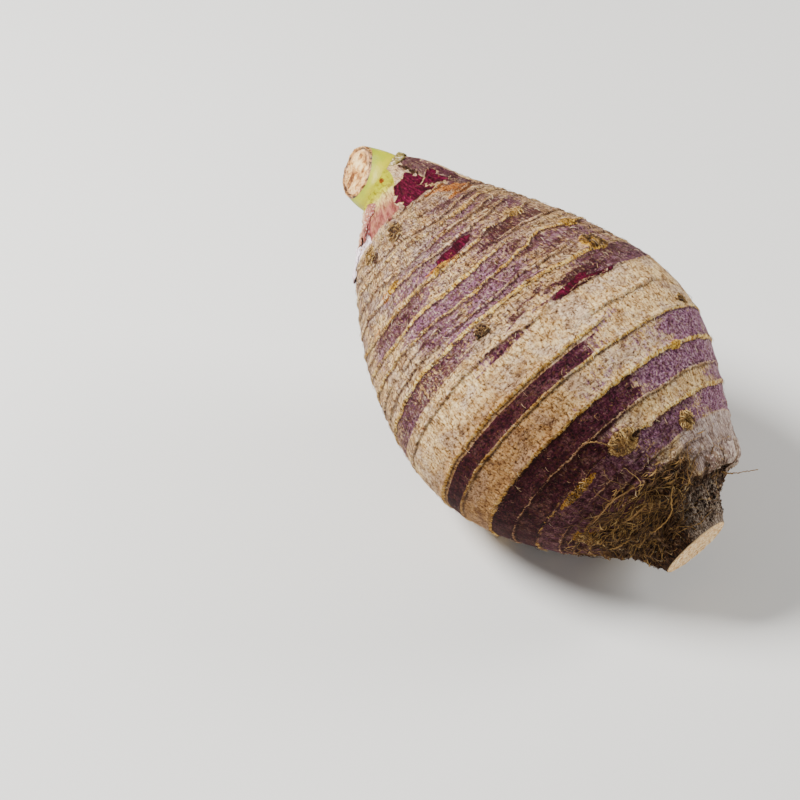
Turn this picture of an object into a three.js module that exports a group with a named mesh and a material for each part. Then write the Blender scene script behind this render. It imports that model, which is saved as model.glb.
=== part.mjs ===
// A whole taro corm, dug, trimmed and laid on its belly. Millimetres, +Z up, resting on z = 0.
// Each piece is shaped in the corm's own frame, whose x axis runs from the shoot end to the root
// end along the corm's middle, and is then leant back so that the shoot end stands a little clear
// of the surface.

import * as THREE from "three";

const leanDegrees = 17; // how far the shoot end is raised
const stalkTurnDegrees = 24.8; // how far the leaf stalks turn aside from the corm's middle line
// where the corm's frame starts; x and y put the whole part's middle over the origin
const shootEnd = new THREE.Vector3(-67.15, 0.3, 69.6);
const skinGap = 0.35; // space kept between pieces that touch

const corm = {
  segments: 60,
  rings: 52,
  // distance from the shoot end, and radius there: neck, cone, belly, shoulder, root neck
  girth: [
    [0, 10.3],
    [5, 13.2],
    [15, 20.8],
    [39, 35.2],
    [62, 45.2],
    [84, 50],
    [104, 47.6],
    [126, 36],
    [136, 27.6],
    [142, 21.2],
    [145.5, 15.8],
    [149.5, 13.4],
    [154.5, 11.2],
  ],
  // distance from the shoot end, and how far the middle line drifts sideways and upwards there
  drift: [
    [0, 2.6, 1.4],
    [6, 3.2, 1.8],
    [16, 1.4, 0.8],
    [40, -0.6, -0.3],
    [70, -0.6, -0.3],
    [100, 0.2, 0],
    [127, 1.4, 0.8],
    [142, 3.8, 2.2],
    [147, 1, 0.6],
    [154.5, 0.1, 0],
  ],
  neckTurn: Math.tan(THREE.MathUtils.degToRad(stalkTurnDegrees)), // slant of the neck's end
  neckTurnEnd: 26, // where along the corm that slant has faded out
};

// The cut-off base of the leaf stalks, which leaves the neck at an angle.
const stalk = {
  segments: 40,
  rings: 8,
  heading: new THREE.Vector3(-1, 0, 0).applyAxisAngle(
    new THREE.Vector3(0, 0, 1),
    THREE.MathUtils.degToRad(stalkTurnDegrees),
  ),
  cutFacing: new THREE.Vector3(-0.58, -0.726, 0.366).normalize(),
  length: 9.1,
  rootRadius: 10,
  tipRadius: 8.4,
};

// A thin leftover leaf scale that hugs the lower side of the neck.
const budScale = { start: 1.5, end: 13, from: 146, to: 206, thickness: 0.9, steps: 12, segments: 14 };

// Hair roots, each a list of places on the skin: distance from the shoot end, angle round the
// corm in degrees, and clear height over the skin.
const hairRoots = {
  radius: 0.4,
  sides: 8,
  stepLength: 1.6,
  routes: [
    [[137.7, 107, 0], [141.2, 121, 0], [144.3, 128, 0.3], [144.7, 149, 0.2], [143.9, 159, 0]],
    [[134.3, 131, 0], [132.8, 145, 0.3], [132.8, 159, 0.2], [132.5, 170, 0]],
    [[139.7, 133, 0], [138.3, 151, 0.4], [138.4, 163, 0]],
    [[142.2, 171, 0.2], [139.6, 182, 0.6], [138.4, 196, 0.1]],
    [[117.4, 131, 0], [119.4, 126, 0.5], [123, 123, 0]],
    [[142, 33, 0.2], [142.6, 32, 2.4], [143.4, 30, 4.8]],
    [[141, 224, 0], [137.4, 238, 0.5], [135.8, 252, 0]],
    [[144.4, 296, 0], [142, 312, 0.4], [141.6, 328, 0]],
    [[138, 18, 0], [134.4, 6, 0.4], [132.6, -10, 0]],
  ],
};

// Corm shape ---------------------------------------------------------------

const girthCurve = new THREE.CatmullRomCurve3(
  corm.girth.map(([x, radius]) => new THREE.Vector3(x, radius, 0)),
);
const driftCurve = new THREE.CatmullRomCurve3(
  corm.drift.map(([x, y, z]) => new THREE.Vector3(x, y, z)),
);

// The point where a curve that runs along x reaches the given x, by halving.
function pointAt(curve, x) {
  let low = 0;
  let high = 1;
  for (let step = 0; step < 30; step++) {
    const middle = (low + high) / 2;
    if (curve.getPoint(middle).x < x) low = middle;
    else high = middle;
  }
  return curve.getPoint((low + high) / 2);
}

// A slow unevenness round the corm, as a share of its radius.
function lobes(x, angle) {
  const ripple2 = 0.016 * Math.cos(2 * angle + 0.02 * x);
  const ripple3 = 0.012 * Math.cos(3 * angle - 0.03 * x + 1);
  return 1 + ripple2 + ripple3;
}

// A point of the corm's skin, or over it by the lift. Angle 0 is sideways, 90 degrees up.
function skinPoint(x, angle, lift = 0) {
  const middle = pointAt(driftCurve, x);
  const slope = pointAt(girthCurve, x + 0.5).y - pointAt(girthCurve, x - 0.5).y;
  const rise = lift / Math.hypot(1, slope);
  const radius = pointAt(girthCurve, x).y * lobes(x, angle) + rise;
  const across = radius * Math.cos(angle);
  const turn = corm.neckTurn * Math.max(0, 1 - x / corm.neckTurnEnd) ** 2;
  return new THREE.Vector3(
    x - turn * across - slope * rise,
    middle.y + across,
    middle.z + radius * Math.sin(angle),
  );
}

// Closed skin through rings of points, all of one length, with a middle point at both ends.
function skinOver(rings, start, end) {
  const count = rings[0].length;
  const points = [start, ...rings.flat(), end];
  const last = rings.length - 1;
  const at = (ring, k) => 1 + ring * count + (k % count);
  const faces = [];
  for (let k = 0; k < count; k++) {
    faces.push(0, at(0, k + 1), at(0, k));
    faces.push(points.length - 1, at(last, k), at(last, k + 1));
    for (let ring = 0; ring < last; ring++) {
      faces.push(at(ring, k), at(ring + 1, k + 1), at(ring + 1, k));
      faces.push(at(ring, k), at(ring, k + 1), at(ring + 1, k + 1));
    }
  }
  return new THREE.BufferGeometry().setFromPoints(points).setIndex(faces);
}

function cormGeometry() {
  const length = corm.girth.at(-1)[0];
  const rings = girthCurve.getSpacedPoints(corm.rings).map(({ x }) => {
    const ring = [];
    for (let k = 0; k < corm.segments; k++)
      ring.push(skinPoint(x, (2 * Math.PI * k) / corm.segments));
    return ring;
  });
  return skinOver(rings, pointAt(driftCurve, 0), pointAt(driftCurve, length));
}

// Leaf stalk stub ----------------------------------------------------------

function stalkGeometry() {
  const { heading, cutFacing } = stalk;
  const sideways = new THREE.Vector3(0, 0, 1).cross(heading).normalize();
  const upwards = heading.clone().cross(sideways);
  const start = pointAt(driftCurve, 0).addScaledVector(heading, skinGap);
  const centres = [];
  const rings = [];
  for (let i = 0; i <= stalk.rings; i++) {
    const share = i / stalk.rings;
    const centre = start.clone().addScaledVector(heading, stalk.length * share);
    const radius = THREE.MathUtils.lerp(stalk.rootRadius, stalk.tipRadius, share);
    const ring = [];
    for (let k = 0; k < stalk.segments; k++) {
      const angle = (2 * Math.PI * k) / stalk.segments;
      const offset = sideways
        .clone()
        .multiplyScalar(radius * Math.cos(angle))
        .addScaledVector(upwards, radius * Math.sin(angle));
      // the slant of the cut grows from nothing at the neck to the cut's own facing
      const slant = (-offset.dot(cutFacing) / heading.dot(cutFacing)) * share;
      ring.push(centre.clone().add(offset).addScaledVector(heading, slant));
    }
    rings.push(ring);
    centres.push(centre);
  }
  return skinOver(rings, centres[0], centres.at(-1));
}

// Bud scale and hair roots ---------------------------------------------------

function budScaleGeometry() {
  const { start, end, from, to, thickness, steps, segments } = budScale;
  const rings = [];
  const middles = [];
  for (let i = 0; i <= steps; i++) {
    const x = THREE.MathUtils.lerp(start, end, i / steps);
    // the scale is widest in its middle and narrows towards both ends
    const width = 0.35 + 0.65 * Math.sin((Math.PI * (i + 1)) / (steps + 2));
    const angleAt = (k) =>
      THREE.MathUtils.degToRad((from + to) / 2 + width * (to - from) * (k / segments - 0.5));
    const outside = [];
    const inside = [];
    for (let k = 0; k <= segments; k++) {
      outside.push(skinPoint(x, angleAt(k), skinGap + thickness));
      inside.unshift(skinPoint(x, angleAt(k), skinGap));
    }
    rings.push([...outside, ...inside]);
    middles.push(skinPoint(x, angleAt(segments / 2), skinGap + thickness / 2));
  }
  return skinOver(rings, middles[0], middles.at(-1));
}

function hairRootGeometry(route) {
  const { radius, sides, stepLength } = hairRoots;
  const path = new THREE.CatmullRomCurve3(
    route.map(([x, degrees, height]) =>
      skinPoint(x, THREE.MathUtils.degToRad(degrees), skinGap + radius + height),
    ),
  );
  const section = new THREE.Shape();
  for (let k = 0; k < sides; k++) {
    const angle = (2 * Math.PI * k) / sides;
    if (k === 0) section.moveTo(radius, 0);
    else section.lineTo(radius * Math.cos(angle), radius * Math.sin(angle));
  }
  section.closePath();
  const steps = Math.ceil(path.getLength() / stepLength);
  return new THREE.ExtrudeGeometry(section, { steps, extrudePath: path });
}

// Placing ------------------------------------------------------------------

const lean = new THREE.Matrix4()
  .makeTranslation(shootEnd)
  .multiply(new THREE.Matrix4().makeRotationY(THREE.MathUtils.degToRad(leanDegrees)));

// Leans a piece into place. What would sink below the surface is pressed flat onto it.
function settle(geometry) {
  geometry.applyMatrix4(lean);
  const place = geometry.getAttribute("position");
  for (let i = 0; i < place.count; i++) place.setZ(i, Math.max(0, place.getZ(i)));
  geometry.computeVertexNormals();
  return geometry;
}

const materials = {
  skin: new THREE.MeshStandardMaterial({ color: 0x8d7359, roughness: 0.9 }),
  stalk: new THREE.MeshStandardMaterial({ color: 0xb9c45c, roughness: 0.6 }),
  scale: new THREE.MeshStandardMaterial({ color: 0xc98f93, roughness: 0.7 }),
  hair: new THREE.MeshStandardMaterial({ color: 0xa07c4a, roughness: 0.9 }),
};

const taro = new THREE.Group();

function addPiece(name, geometry, material) {
  const mesh = new THREE.Mesh(settle(geometry), material);
  mesh.name = name;
  taro.add(mesh);
}

addPiece("corm", cormGeometry(), materials.skin);
addPiece("leaf_stalk_stub", stalkGeometry(), materials.stalk);
addPiece("neck_bud_scale", budScaleGeometry(), materials.scale);
hairRoots.routes.forEach((route, i) => {
  addPiece(`hair_root_${i + 1}`, hairRootGeometry(route), materials.hair);
});

export default taro;
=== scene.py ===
import math

import bpy
import numpy as np
from mathutils import Matrix, Vector
from mathutils.bvhtree import BVHTree


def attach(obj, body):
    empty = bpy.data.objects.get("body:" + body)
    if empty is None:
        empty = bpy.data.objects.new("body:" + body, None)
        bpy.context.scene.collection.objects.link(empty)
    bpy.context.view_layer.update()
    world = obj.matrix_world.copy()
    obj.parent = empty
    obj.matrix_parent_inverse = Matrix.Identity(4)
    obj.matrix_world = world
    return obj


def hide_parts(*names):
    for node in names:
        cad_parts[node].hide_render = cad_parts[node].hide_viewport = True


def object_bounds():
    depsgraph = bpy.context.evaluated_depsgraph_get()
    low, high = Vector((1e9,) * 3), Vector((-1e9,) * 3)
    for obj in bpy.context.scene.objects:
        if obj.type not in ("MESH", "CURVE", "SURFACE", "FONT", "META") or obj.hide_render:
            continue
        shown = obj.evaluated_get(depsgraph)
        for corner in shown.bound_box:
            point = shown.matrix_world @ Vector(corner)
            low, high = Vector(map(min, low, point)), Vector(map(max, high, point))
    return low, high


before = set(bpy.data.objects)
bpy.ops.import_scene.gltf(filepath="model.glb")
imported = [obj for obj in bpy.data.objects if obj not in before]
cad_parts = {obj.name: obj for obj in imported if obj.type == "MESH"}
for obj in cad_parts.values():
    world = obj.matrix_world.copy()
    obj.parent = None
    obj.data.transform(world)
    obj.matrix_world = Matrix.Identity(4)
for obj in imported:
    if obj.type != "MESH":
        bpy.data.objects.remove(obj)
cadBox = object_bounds()
mm = 0.001

# The corm's own frame: x runs from the shoot end to the root end, in mm, and leans back
cormFrame = {
    "shootEnd": (-67.15, 0.3, 69.6),
    "leanDegrees": 17,
    "stalkTurnDegrees": 24.8,  # the neck's end is cut square to the leaf stalks
    "neckTurnEnd": 26,
    "length": 154.5,
    # x, sideways and upward place of the middle line
    "middle": [
        (0, 2.6, 1.4), (6, 3.2, 1.8), (16, 1.4, 0.8), (40, -0.6, -0.3), (70, -0.6, -0.3),
        (100, 0.2, 0), (127, 1.4, 0.8), (142, 3.8, 2.2), (147, 1, 0.6), (154.5, 0.1, 0),
    ],
}
leanAngle = math.radians(cormFrame["leanDegrees"])
alongWay = np.array([math.cos(leanAngle), 0, -math.sin(leanAngle)])
sideWay = np.array([0.0, 1.0, 0.0])
upWay = np.array([math.sin(leanAngle), 0, math.cos(leanAngle)])


def turnToScene(local):  # a way in the corm's frame, as a way in the scene
    local = np.asarray(local, float)
    return local[..., 0:1] * alongWay + local[..., 1:2] * sideWay + local[..., 2:3] * upWay


def toScene(local):  # a place in the corm's frame, in mm, as a place in the scene, in m
    return (np.array(cormFrame["shootEnd"]) + turnToScene(local)) * mm


def middleAt(x):
    places = np.array(cormFrame["middle"])
    y = np.interp(x, places[:, 0], places[:, 1])
    z = np.interp(x, places[:, 0], places[:, 2])
    return np.stack([x, y, z], -1)


def outwardAt(x, angle):  # from the middle line to the skin, not of unit length on the slanted neck
    fade = np.clip(1 - x / cormFrame["neckTurnEnd"], 0, 1) ** 2
    turn = math.tan(math.radians(cormFrame["stalkTurnDegrees"])) * fade
    return np.stack([-turn * np.cos(angle), np.cos(angle), np.sin(angle)], -1)


def ramp(value, low, high):  # smooth step from 0 at low to 1 at high
    share = np.clip((value - low) / (high - low), 0, 1)
    return share * share * (3 - 2 * share)


def newMesh(name, points, faces):
    mesh = bpy.data.meshes.new(name)
    mesh.from_pydata([tuple(p) for p in points], [], [tuple(f) for f in faces])
    mesh.polygons.foreach_set("use_smooth", [True] * len(mesh.polygons))
    mesh.update()
    piece = bpy.data.objects.new(name, mesh)
    bpy.context.collection.objects.link(piece)
    return piece


def setField(piece, name, values):
    values = np.asarray(values, np.float32)
    kind = "FLOAT" if values.ndim == 1 else "FLOAT_VECTOR"
    layer = piece.data.attributes.new(name, kind, "POINT")
    layer.data.foreach_set("value" if values.ndim == 1 else "vector", values.ravel())


# Camera and stage

# degrees, then mm
viewing = {
    "azimuth": 49.5, "elevation": 45, "distance": 588.9, "aimRight": -35.3, "aimUp": -15.4,
    "lens": 85, "sensor": 36,
}


def placeCamera():
    azimuth, elevation = math.radians(viewing["azimuth"]), math.radians(viewing["elevation"])
    right = Vector((math.cos(azimuth), math.sin(azimuth), 0))
    back = Vector((math.sin(azimuth) * math.cos(elevation), -math.cos(azimuth) * math.cos(elevation),
                   math.sin(elevation)))
    up = back.cross(right)
    low, high = Vector(cadBox[0]), Vector(cadBox[1])
    away = back * viewing["distance"] + right * viewing["aimRight"] + up * viewing["aimUp"]
    place = (low + high) / 2 + away * mm
    camera = bpy.data.objects.new("camera", bpy.data.cameras.new("camera"))
    camera.data.lens = viewing["lens"]
    camera.data.sensor_width = viewing["sensor"]
    camera.data.clip_start = 10 * mm
    camera.matrix_world = Matrix.Translation(place) @ Matrix((right, up, back)).transposed().to_4x4()
    bpy.context.collection.objects.link(camera)
    bpy.context.scene.camera = camera


placeCamera()
print("camera placed")


# Shader and node writing

class Wire:  # one output socket; sums and products of wires add Math nodes
    def __init__(self, board, socket):
        self.board, self.socket = board, socket

    def maths(self, operation, first, second):
        return self.board.add("ShaderNodeMath", {"operation": operation}, {0: first, 1: second})["Value"]

    def __add__(self, other):
        return self.maths("ADD", self, other)

    __radd__ = __add__

    def __mul__(self, other):
        return self.maths("MULTIPLY", self, other)

    __rmul__ = __mul__

    def __sub__(self, other):
        return self.maths("SUBTRACT", self, other)

    def __rsub__(self, other):
        return self.maths("SUBTRACT", other, self)


class Outputs:  # a node's output sockets by name, as wires
    def __init__(self, board, node):
        self.board, self.node = board, node

    def __getitem__(self, name):
        return Wire(self.board, self.node.outputs[name])


class Board:  # a node tree being written
    def __init__(self, tree):
        self.tree = tree

    def add(self, kind, settings=None, sockets=None):
        node = self.tree.nodes.new(kind)
        for name, value in (settings or {}).items():
            if name == "stops":
                while len(node.color_ramp.elements) < len(value):
                    node.color_ramp.elements.new(0.5)
                for stop, (place, colour) in zip(node.color_ramp.elements, value):
                    stop.position, stop.color = place, colour
            else:
                setattr(node, name, value)
        for name, value in (sockets or {}).items():
            if isinstance(value, Wire):
                self.tree.links.new(value.socket, node.inputs[name])
            elif value is not None:
                node.inputs[name].default_value = value
        return Outputs(self, node)

    def field(self, name, output="Fac"):  # an attribute of the mesh
        return self.add("ShaderNodeAttribute", {"attribute_name": name})[output]

    def step(self, value, low, high):  # smooth, from 0 at low to 1 at high
        sockets = {"Value": value, "From Min": low, "From Max": high}
        return self.add("ShaderNodeMapRange", {"interpolation_type": "SMOOTHSTEP"}, sockets)["Result"]

    def noise(self, place, scale, detail, roughness, warp=0.0):
        sockets = {"Vector": place, "Scale": scale, "Detail": detail, "Roughness": roughness,
                   "Distortion": warp}
        return self.add("ShaderNodeTexNoise", {}, sockets)["Fac"]

    def random(self, kind, low, high, seed):
        lowest, highest = (2, 3) if kind == "FLOAT" else (0, 1)
        sockets = {lowest: low, highest: high, "Seed": seed}
        return self.add("FunctionNodeRandomValue", {"data_type": kind}, sockets)["Value"]

    def objectPlace(self):
        return self.add("ShaderNodeTexCoord")["Object"]

    def stretch(self, place, scale):
        return self.add("ShaderNodeVectorMath", {"operation": "MULTIPLY"}, {0: place, 1: scale})["Vector"]

    def blend(self, share, first, second, mode="MIX"):  # colours are wires or web codes
        settings = {"data_type": "RGBA", "blend_type": mode, "clamp_factor": True}
        first, second = (paint(c) if isinstance(c, str) else c for c in (first, second))
        return self.add("ShaderNodeMix", settings, {0: share, 6: first, 7: second})["Result"]

    def colours(self, value, stops):
        stops = [(place, paint(code)) for place, code in stops]
        return self.add("ShaderNodeValToRGB", {"stops": stops}, {"Fac": value})["Color"]


def paint(code):  # a web colour as linear red, green and blue
    parts = [int(code[i:i + 2], 16) / 255 for i in (1, 3, 5)]
    return tuple(p / 12.92 if p <= 0.04045 else ((p + 0.055) / 1.055) ** 2.4 for p in parts) + (1,)


def newMaterial(name, roughness, specular=0.3):
    material = bpy.data.materials.new(name)
    material.use_nodes = True
    material.node_tree.nodes.clear()
    board = Board(material.node_tree)
    finish = {"Roughness": roughness, "Specular IOR Level": specular}
    surface = board.add("ShaderNodeBsdfPrincipled", {}, finish)
    board.add("ShaderNodeOutputMaterial", {}, {"Surface": surface["BSDF"]})
    return material, board, surface.node


def finishPaint(board, surface, colour, height, depth, strength):  # depth of the bumps in metres
    sockets = {"Height": height, "Distance": depth, "Strength": strength}
    normal = board.add("ShaderNodeBump", {}, sockets)["Normal"]
    board.tree.links.new(colour.socket, surface.inputs["Base Color"])
    board.tree.links.new(normal.socket, surface.inputs["Normal"])


# Skin: a fine grid of rows along the corm and columns round it, cast onto the frame's corm

skinGrid = {"rows": 412, "columns": 230, "seed": 11, "patternRadius": 40}


def castSkin():
    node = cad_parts["corm"]
    tree = BVHTree.FromObject(node, bpy.context.evaluated_depsgraph_get())
    coarseX = np.linspace(0.2, cormFrame["length"] - 0.15, 200)
    angle = np.linspace(0, 2 * math.pi, skinGrid["columns"], endpoint=False)
    radius = np.zeros((len(coarseX), len(angle)))
    for i, x in enumerate(coarseX):
        start = middleAt(x)
        ways = outwardAt(np.full(len(angle), x), angle)
        starts = Vector(toScene(start))
        for k, way in enumerate(turnToScene(ways)):
            hit = tree.ray_cast(starts, Vector(way).normalized())
            radius[i, k] = hit[3] / mm / np.linalg.norm(way)
    return coarseX, angle, radius


def softened(grid, alongSteps, roundSteps):  # box blur, round and round in the second direction
    for _ in range(2):
        padded = np.pad(grid, ((alongSteps, alongSteps), (0, 0)), mode="reflect", reflect_type="odd")
        grid = np.mean([padded[i:i + len(grid)] for i in range(2 * alongSteps + 1)], 0)
        grid = np.mean([np.roll(grid, k, 1) for k in range(-roundSteps, roundSteps + 1)], 0)
    return grid


coarseX, columnAngle, coarseRadius = castSkin()
coarseRadius = softened(coarseRadius, 2, 2)
meanRadius = coarseRadius.mean(1)
arc = np.concatenate([[0], np.cumsum(np.hypot(np.diff(coarseX), np.diff(meanRadius)))])
rowArc = np.linspace(0, arc[-1], skinGrid["rows"])
rowX = np.interp(rowArc, arc, coarseX)
rowX[-1] = cormFrame["length"]
radius = np.stack([np.interp(rowX, coarseX, coarseRadius[:, k]) for k in range(len(columnAngle))], 1)
placeX, placeAngle = np.meshgrid(rowX, columnAngle, indexing="ij")
placeDegrees = np.degrees(placeAngle)
arcGrid = np.repeat(rowArc[:, None], len(columnAngle), 1)
print("corm skin cast", radius.shape, round(float(rowArc[-1]), 1))


def unevenness(seed, alongStep, roundStep):  # smooth noise on the grid, -1 to 1, sizes in mm
    rows = max(3, int(rowArc[-1] / alongStep) + 3)
    columns = max(3, int(round(2 * math.pi * skinGrid["patternRadius"] / roundStep)))
    source = np.random.default_rng(skinGrid["seed"] * 100 + seed).uniform(-1, 1, (rows, columns))
    along, around = arcGrid / alongStep, placeAngle / (2 * math.pi) * columns
    row, column = np.floor(along).astype(int), np.floor(around).astype(int)
    pastRow, pastColumn = (share * share * (3 - 2 * share) for share in (along - row, around - column))
    total = 0
    for down, rowShare in ((0, 1 - pastRow), (1, pastRow)):
        for aside, columnShare in ((0, 1 - pastColumn), (1, pastColumn)):
            corner = source[np.clip(row + down, 0, rows - 1), (column + aside) % columns]
            total = total + corner * rowShare * columnShare
    return total


def angleApart(degrees, middle):
    return (degrees - middle + 180) % 360 - 180


# Ring scars from shoot to root: width in mm, how ochre, then degrees round the corm, place in mm, strength
ringScars = [
    (0.5, 0.0, [(0, 0, 0)]),
    (0.5, 0.2, [
        (45, 17, .2), (75, 20.5, .2), (90, 22.6, .3), (105, 22.8, .7), (122, 22.4, .5), (140, 19, .2),
        (200, 15, .3)]),
    (0.5, 0.3, [
        (60, 25, .7), (78, 28, .8), (88, 29.4, .3), (100, 28.3, .2), (112, 28, .5), (130, 26, .1),
        (150, 25, .3), (180, 22, .6), (200, 21, .5)]),
    (0.6, 0.2, [
        (55, 28, .6), (70, 30, .6), (85, 32, .5), (92, 32.6, .9), (97, 33.4, 1), (103, 34, 1),
        (110, 34.2, .8), (117, 33.2, .6), (128, 31.6, .8), (139, 30, .8), (150, 29, .5),
        (165, 27.5, .7), (200, 25, .8)]),
    (1.2, 0.6, [
        (55, 31.4, .4), (70, 33, .4), (78, 34, .7), (87, 35.6, 1), (93, 36.2, 1), (100, 36.4, .9),
        (107, 36.5, .7), (113, 36.6, .3), (122, 35.3, .5), (130, 34.4, .5), (138, 32.8, .6),
        (150, 33, .4), (165, 31, .6), (200, 28.6, .7)]),
    (0.7, 0.4, [
        (55, 34.8, .3), (70, 36.6, .5), (78, 37.6, .7), (87, 39, .9), (93, 39.6, .9), (100, 40.1, 1),
        (107, 40.3, .8), (115, 40.3, .5), (125, 40.4, .5), (135, 40, .4), (145, 38.4, .9),
        (152, 37.2, .8), (165, 36, .5), (200, 33, .7)]),
    (0.8, 0.4, [
        (55, 38, .3), (70, 40, .6), (80, 41.6, .7), (85, 42, .8), (90, 43, .9), (95, 43.6, 1),
        (103, 44.4, 1), (110, 44.6, 1), (117, 44.6, 1), (126, 44, .9), (133, 43.4, .8), (140, 43, .6),
        (165, 41, .6), (200, 38, .7)]),
    (1.0, 0.7, [
        (55, 43, .3), (66, 45, .4), (75, 47, .5), (88, 48.4, .6), (97, 48.6, .7), (105, 50, .8),
        (112, 50.6, 1), (120, 51, 1), (127, 51.3, .8), (133, 50, .4), (140, 49.6, .9), (160, 49.2, 1),
        (167, 48.4, .9), (200, 44, .8)]),
    (0.6, 0.1, [
        (55, 50.6, .5), (70, 52.4, .9), (78, 52.8, .9), (87, 53.6, .8), (95, 54.6, .8),
        (100, 54.8, .3), (110, 54.9, 0), (135, 53.6, 0), (150, 53, .2), (200, 48, .5)]),
    (1.1, 0.9, [
        (55, 54.4, .3), (70, 55.4, .2), (88, 56.2, .2), (98, 56.6, .4), (103, 57, .7), (107, 57.4, .9),
        (113, 58.3, 1), (118, 58.6, 1), (131, 58, 1), (137, 57.2, .7), (142, 57, 1), (157, 56.4, .9),
        (175, 54, .6), (200, 51, .7)]),
    (1.0, 0.75, [
        (45, 57, .6), (55, 59, .9), (62, 60.8, 1), (70, 59.6, .9), (78, 58.7, 1), (87, 60, 1),
        (90, 61, 1), (92.5, 62.1, .9), (98, 62.4, .9), (103, 63.3, .9), (108, 64, 1), (121, 64.6, 1),
        (128, 64.4, .8), (136, 63, .5), (145, 62.4, .6), (170, 60, .6), (200, 57, .6)]),
    (0.4, 0.2, [
        (50, 63, .4), (75, 64.2, .2), (92, 66, .2), (106, 66.6, .2), (115, 66.8, 0), (130, 66.4, .4),
        (145, 65, .4), (200, 62, .5)]),
    (0.5, 0.3, [
        (50, 66, .3), (75, 67.4, .2), (85, 69, .5), (95, 69.4, .6), (110, 69.8, .8), (118, 69.8, .8),
        (127, 69.4, .6), (137, 68.6, .5), (200, 66, .6)]),
    (1.5, 0.9, [
        (50, 71, .2), (66, 72.5, .2), (74, 73.6, .4), (79, 73.8, 1), (87, 74.2, 1), (93, 73.6, 1),
        (100, 73.4, .8), (115, 73, .9), (130, 72.4, .8), (150, 71.6, .7), (200, 70.5, .7)]),
    (0.5, 0.0, [
        (40, 80, .2), (60, 81.6, .3), (80, 82.2, .4), (107, 83.2, .3), (116, 83.2, 1), (122, 82.2, 1),
        (128, 82, .8), (145, 81.6, .6), (200, 81, .6)]),
    (1.6, 0.5, [
        (20, 92, .2), (58, 91, .1), (66, 91, .5), (80, 91.4, .55), (96, 91.6, .45), (102, 91.6, 0),
        (200, 91, 0)]),
    (1.1, 0.8, [
        (20, 96, 0), (90, 95, 0), (101, 95.2, .8), (108, 95.6, 1), (125, 95.6, 1), (150, 95.4, .9),
        (200, 95, .8)]),
    (0.8, 0.75, [
        (20, 101, .5), (53, 101.7, .7), (66, 101.7, .5), (78, 101.7, .9), (95, 102, .9),
        (113, 102, .9), (130, 102, .7), (200, 102, .6)]),
    (1.3, 1.0, [
        (20, 109.6, .8), (37, 110.8, .9), (53, 111.2, 1), (70, 111, 1), (76, 110.8, 1.1),
        (103, 111.2, 1), (135, 111.4, .9), (200, 111, .8)]),
    (0.5, 0.2, [
        (20, 117, .3), (60, 118.3, .6), (90, 118.6, .7), (118, 118.2, .9), (140, 118, .7),
        (200, 117.6, .6)]),
    (1.6, 0.7, [
        (20, 121, .9), (30, 122.4, .9), (45, 123.4, .9), (67, 124, .9), (87, 124.4, .9),
        (100, 124.6, .9), (107, 124.4, .6), (112, 124, 0), (140, 124, .2), (200, 124, .5)]),
    (0.4, 0.2, [
        (20, 128.4, .4), (60, 128.6, .2), (100, 129, .1), (130, 129.4, .5), (200, 129, .5)]),
    (0.5, 0.4, [
        (20, 131.6, .3), (90, 131.4, .1), (110, 131.8, .5), (130, 132.6, .7), (160, 132.8, .9),
        (200, 132, .8)]),
    (0.6, 0.5, [
        (20, 135, .2), (95, 134.4, .3), (115, 136, .8), (135, 136, .9), (165, 135.6, .9),
        (200, 135, .8)]),
    (0.5, 0.5, [
        (20, 138, .2), (95, 137.6, .3), (120, 138.6, .7), (165, 138.4, .9), (200, 138, .8)]),
    (0.6, 0.4, [
        (20, 141, .4), (60, 141.6, .5), (110, 141, .6), (165, 141, .8), (200, 141, .8)]),
    (0.5, 0.0, [(0, 154.5, 0)]),
]


def followRings():  # for each place on the skin: a count that is whole on each scar, and that scar's values
    columnDegrees = np.degrees(columnAngle)
    tables = []
    for *_, stations in ringScars:
        degrees, places, strengths = np.array(stations, float).T
        tables.append([np.interp(columnDegrees, degrees, places, period=360),
                       np.interp(columnDegrees, degrees, strengths, period=360)])
    tables = np.array(tables)  # scar, place or strength, column
    places = np.maximum.accumulate(tables[:, 0] + 0.5 * np.arange(len(ringScars))[:, None], axis=0)
    places -= 0.5 * np.arange(len(ringScars))[:, None]
    wobble = 0.42 * unevenness(18, 5, 4) + 0.3 * unevenness(2, 9, 9)
    wobble = wobble * ramp(placeX, 8, 24) * (1 - 0.45 * ramp(placeX, 84, 96)) * (1 - ramp(placeX, 146, 152))
    count, gap = np.zeros_like(placeX), np.zeros_like(placeX)
    for k in range(len(columnAngle)):
        count[:, k] = np.interp(placeX[:, k] + wobble[:, k], places[:, k], np.arange(len(ringScars)))
        cell = np.clip(count[:, k].astype(int), 0, len(ringScars) - 2)
        gap[:, k] = np.diff(places[:, k])[cell]
    nearest = np.round(count).astype(int)
    columns = np.arange(len(columnAngle))[None, :]
    upright = int(np.argmin(np.abs(columnDegrees - 115)))
    levelled = np.interp(count, np.arange(len(ringScars)), places[:, upright])
    return count, gap, nearest, tables[nearest, 1, columns], levelled


ringCount, ringGap, nearest, handStrength, levelX = followRings()
scarSide = (ringCount - nearest) * ringGap  # mm past the nearest scar
scarOchre = np.array([ring[1] for ring in ringScars])[nearest]
hiddenShare = ramp(np.abs(angleApart(placeDegrees, 295)), 88, 70)
scarStrength = handStrength + hiddenShare * 0.5 * unevenness(21, 7, 26) + 0.3 * unevenness(19, 2.5, 9)
scarStrength = np.clip(scarStrength, 0, 1.3) * ramp(handStrength, 0, 0.12)
ringWidth = np.array([ring[0] for ring in ringScars])[nearest] * (0.45 + 0.6 * np.clip(scarStrength, 0, 1.2))
scar = np.clip(1 - np.abs(scarSide) / (ringWidth + 0.1), 0, 1) * np.clip(scarStrength, 0, 1)

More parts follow.
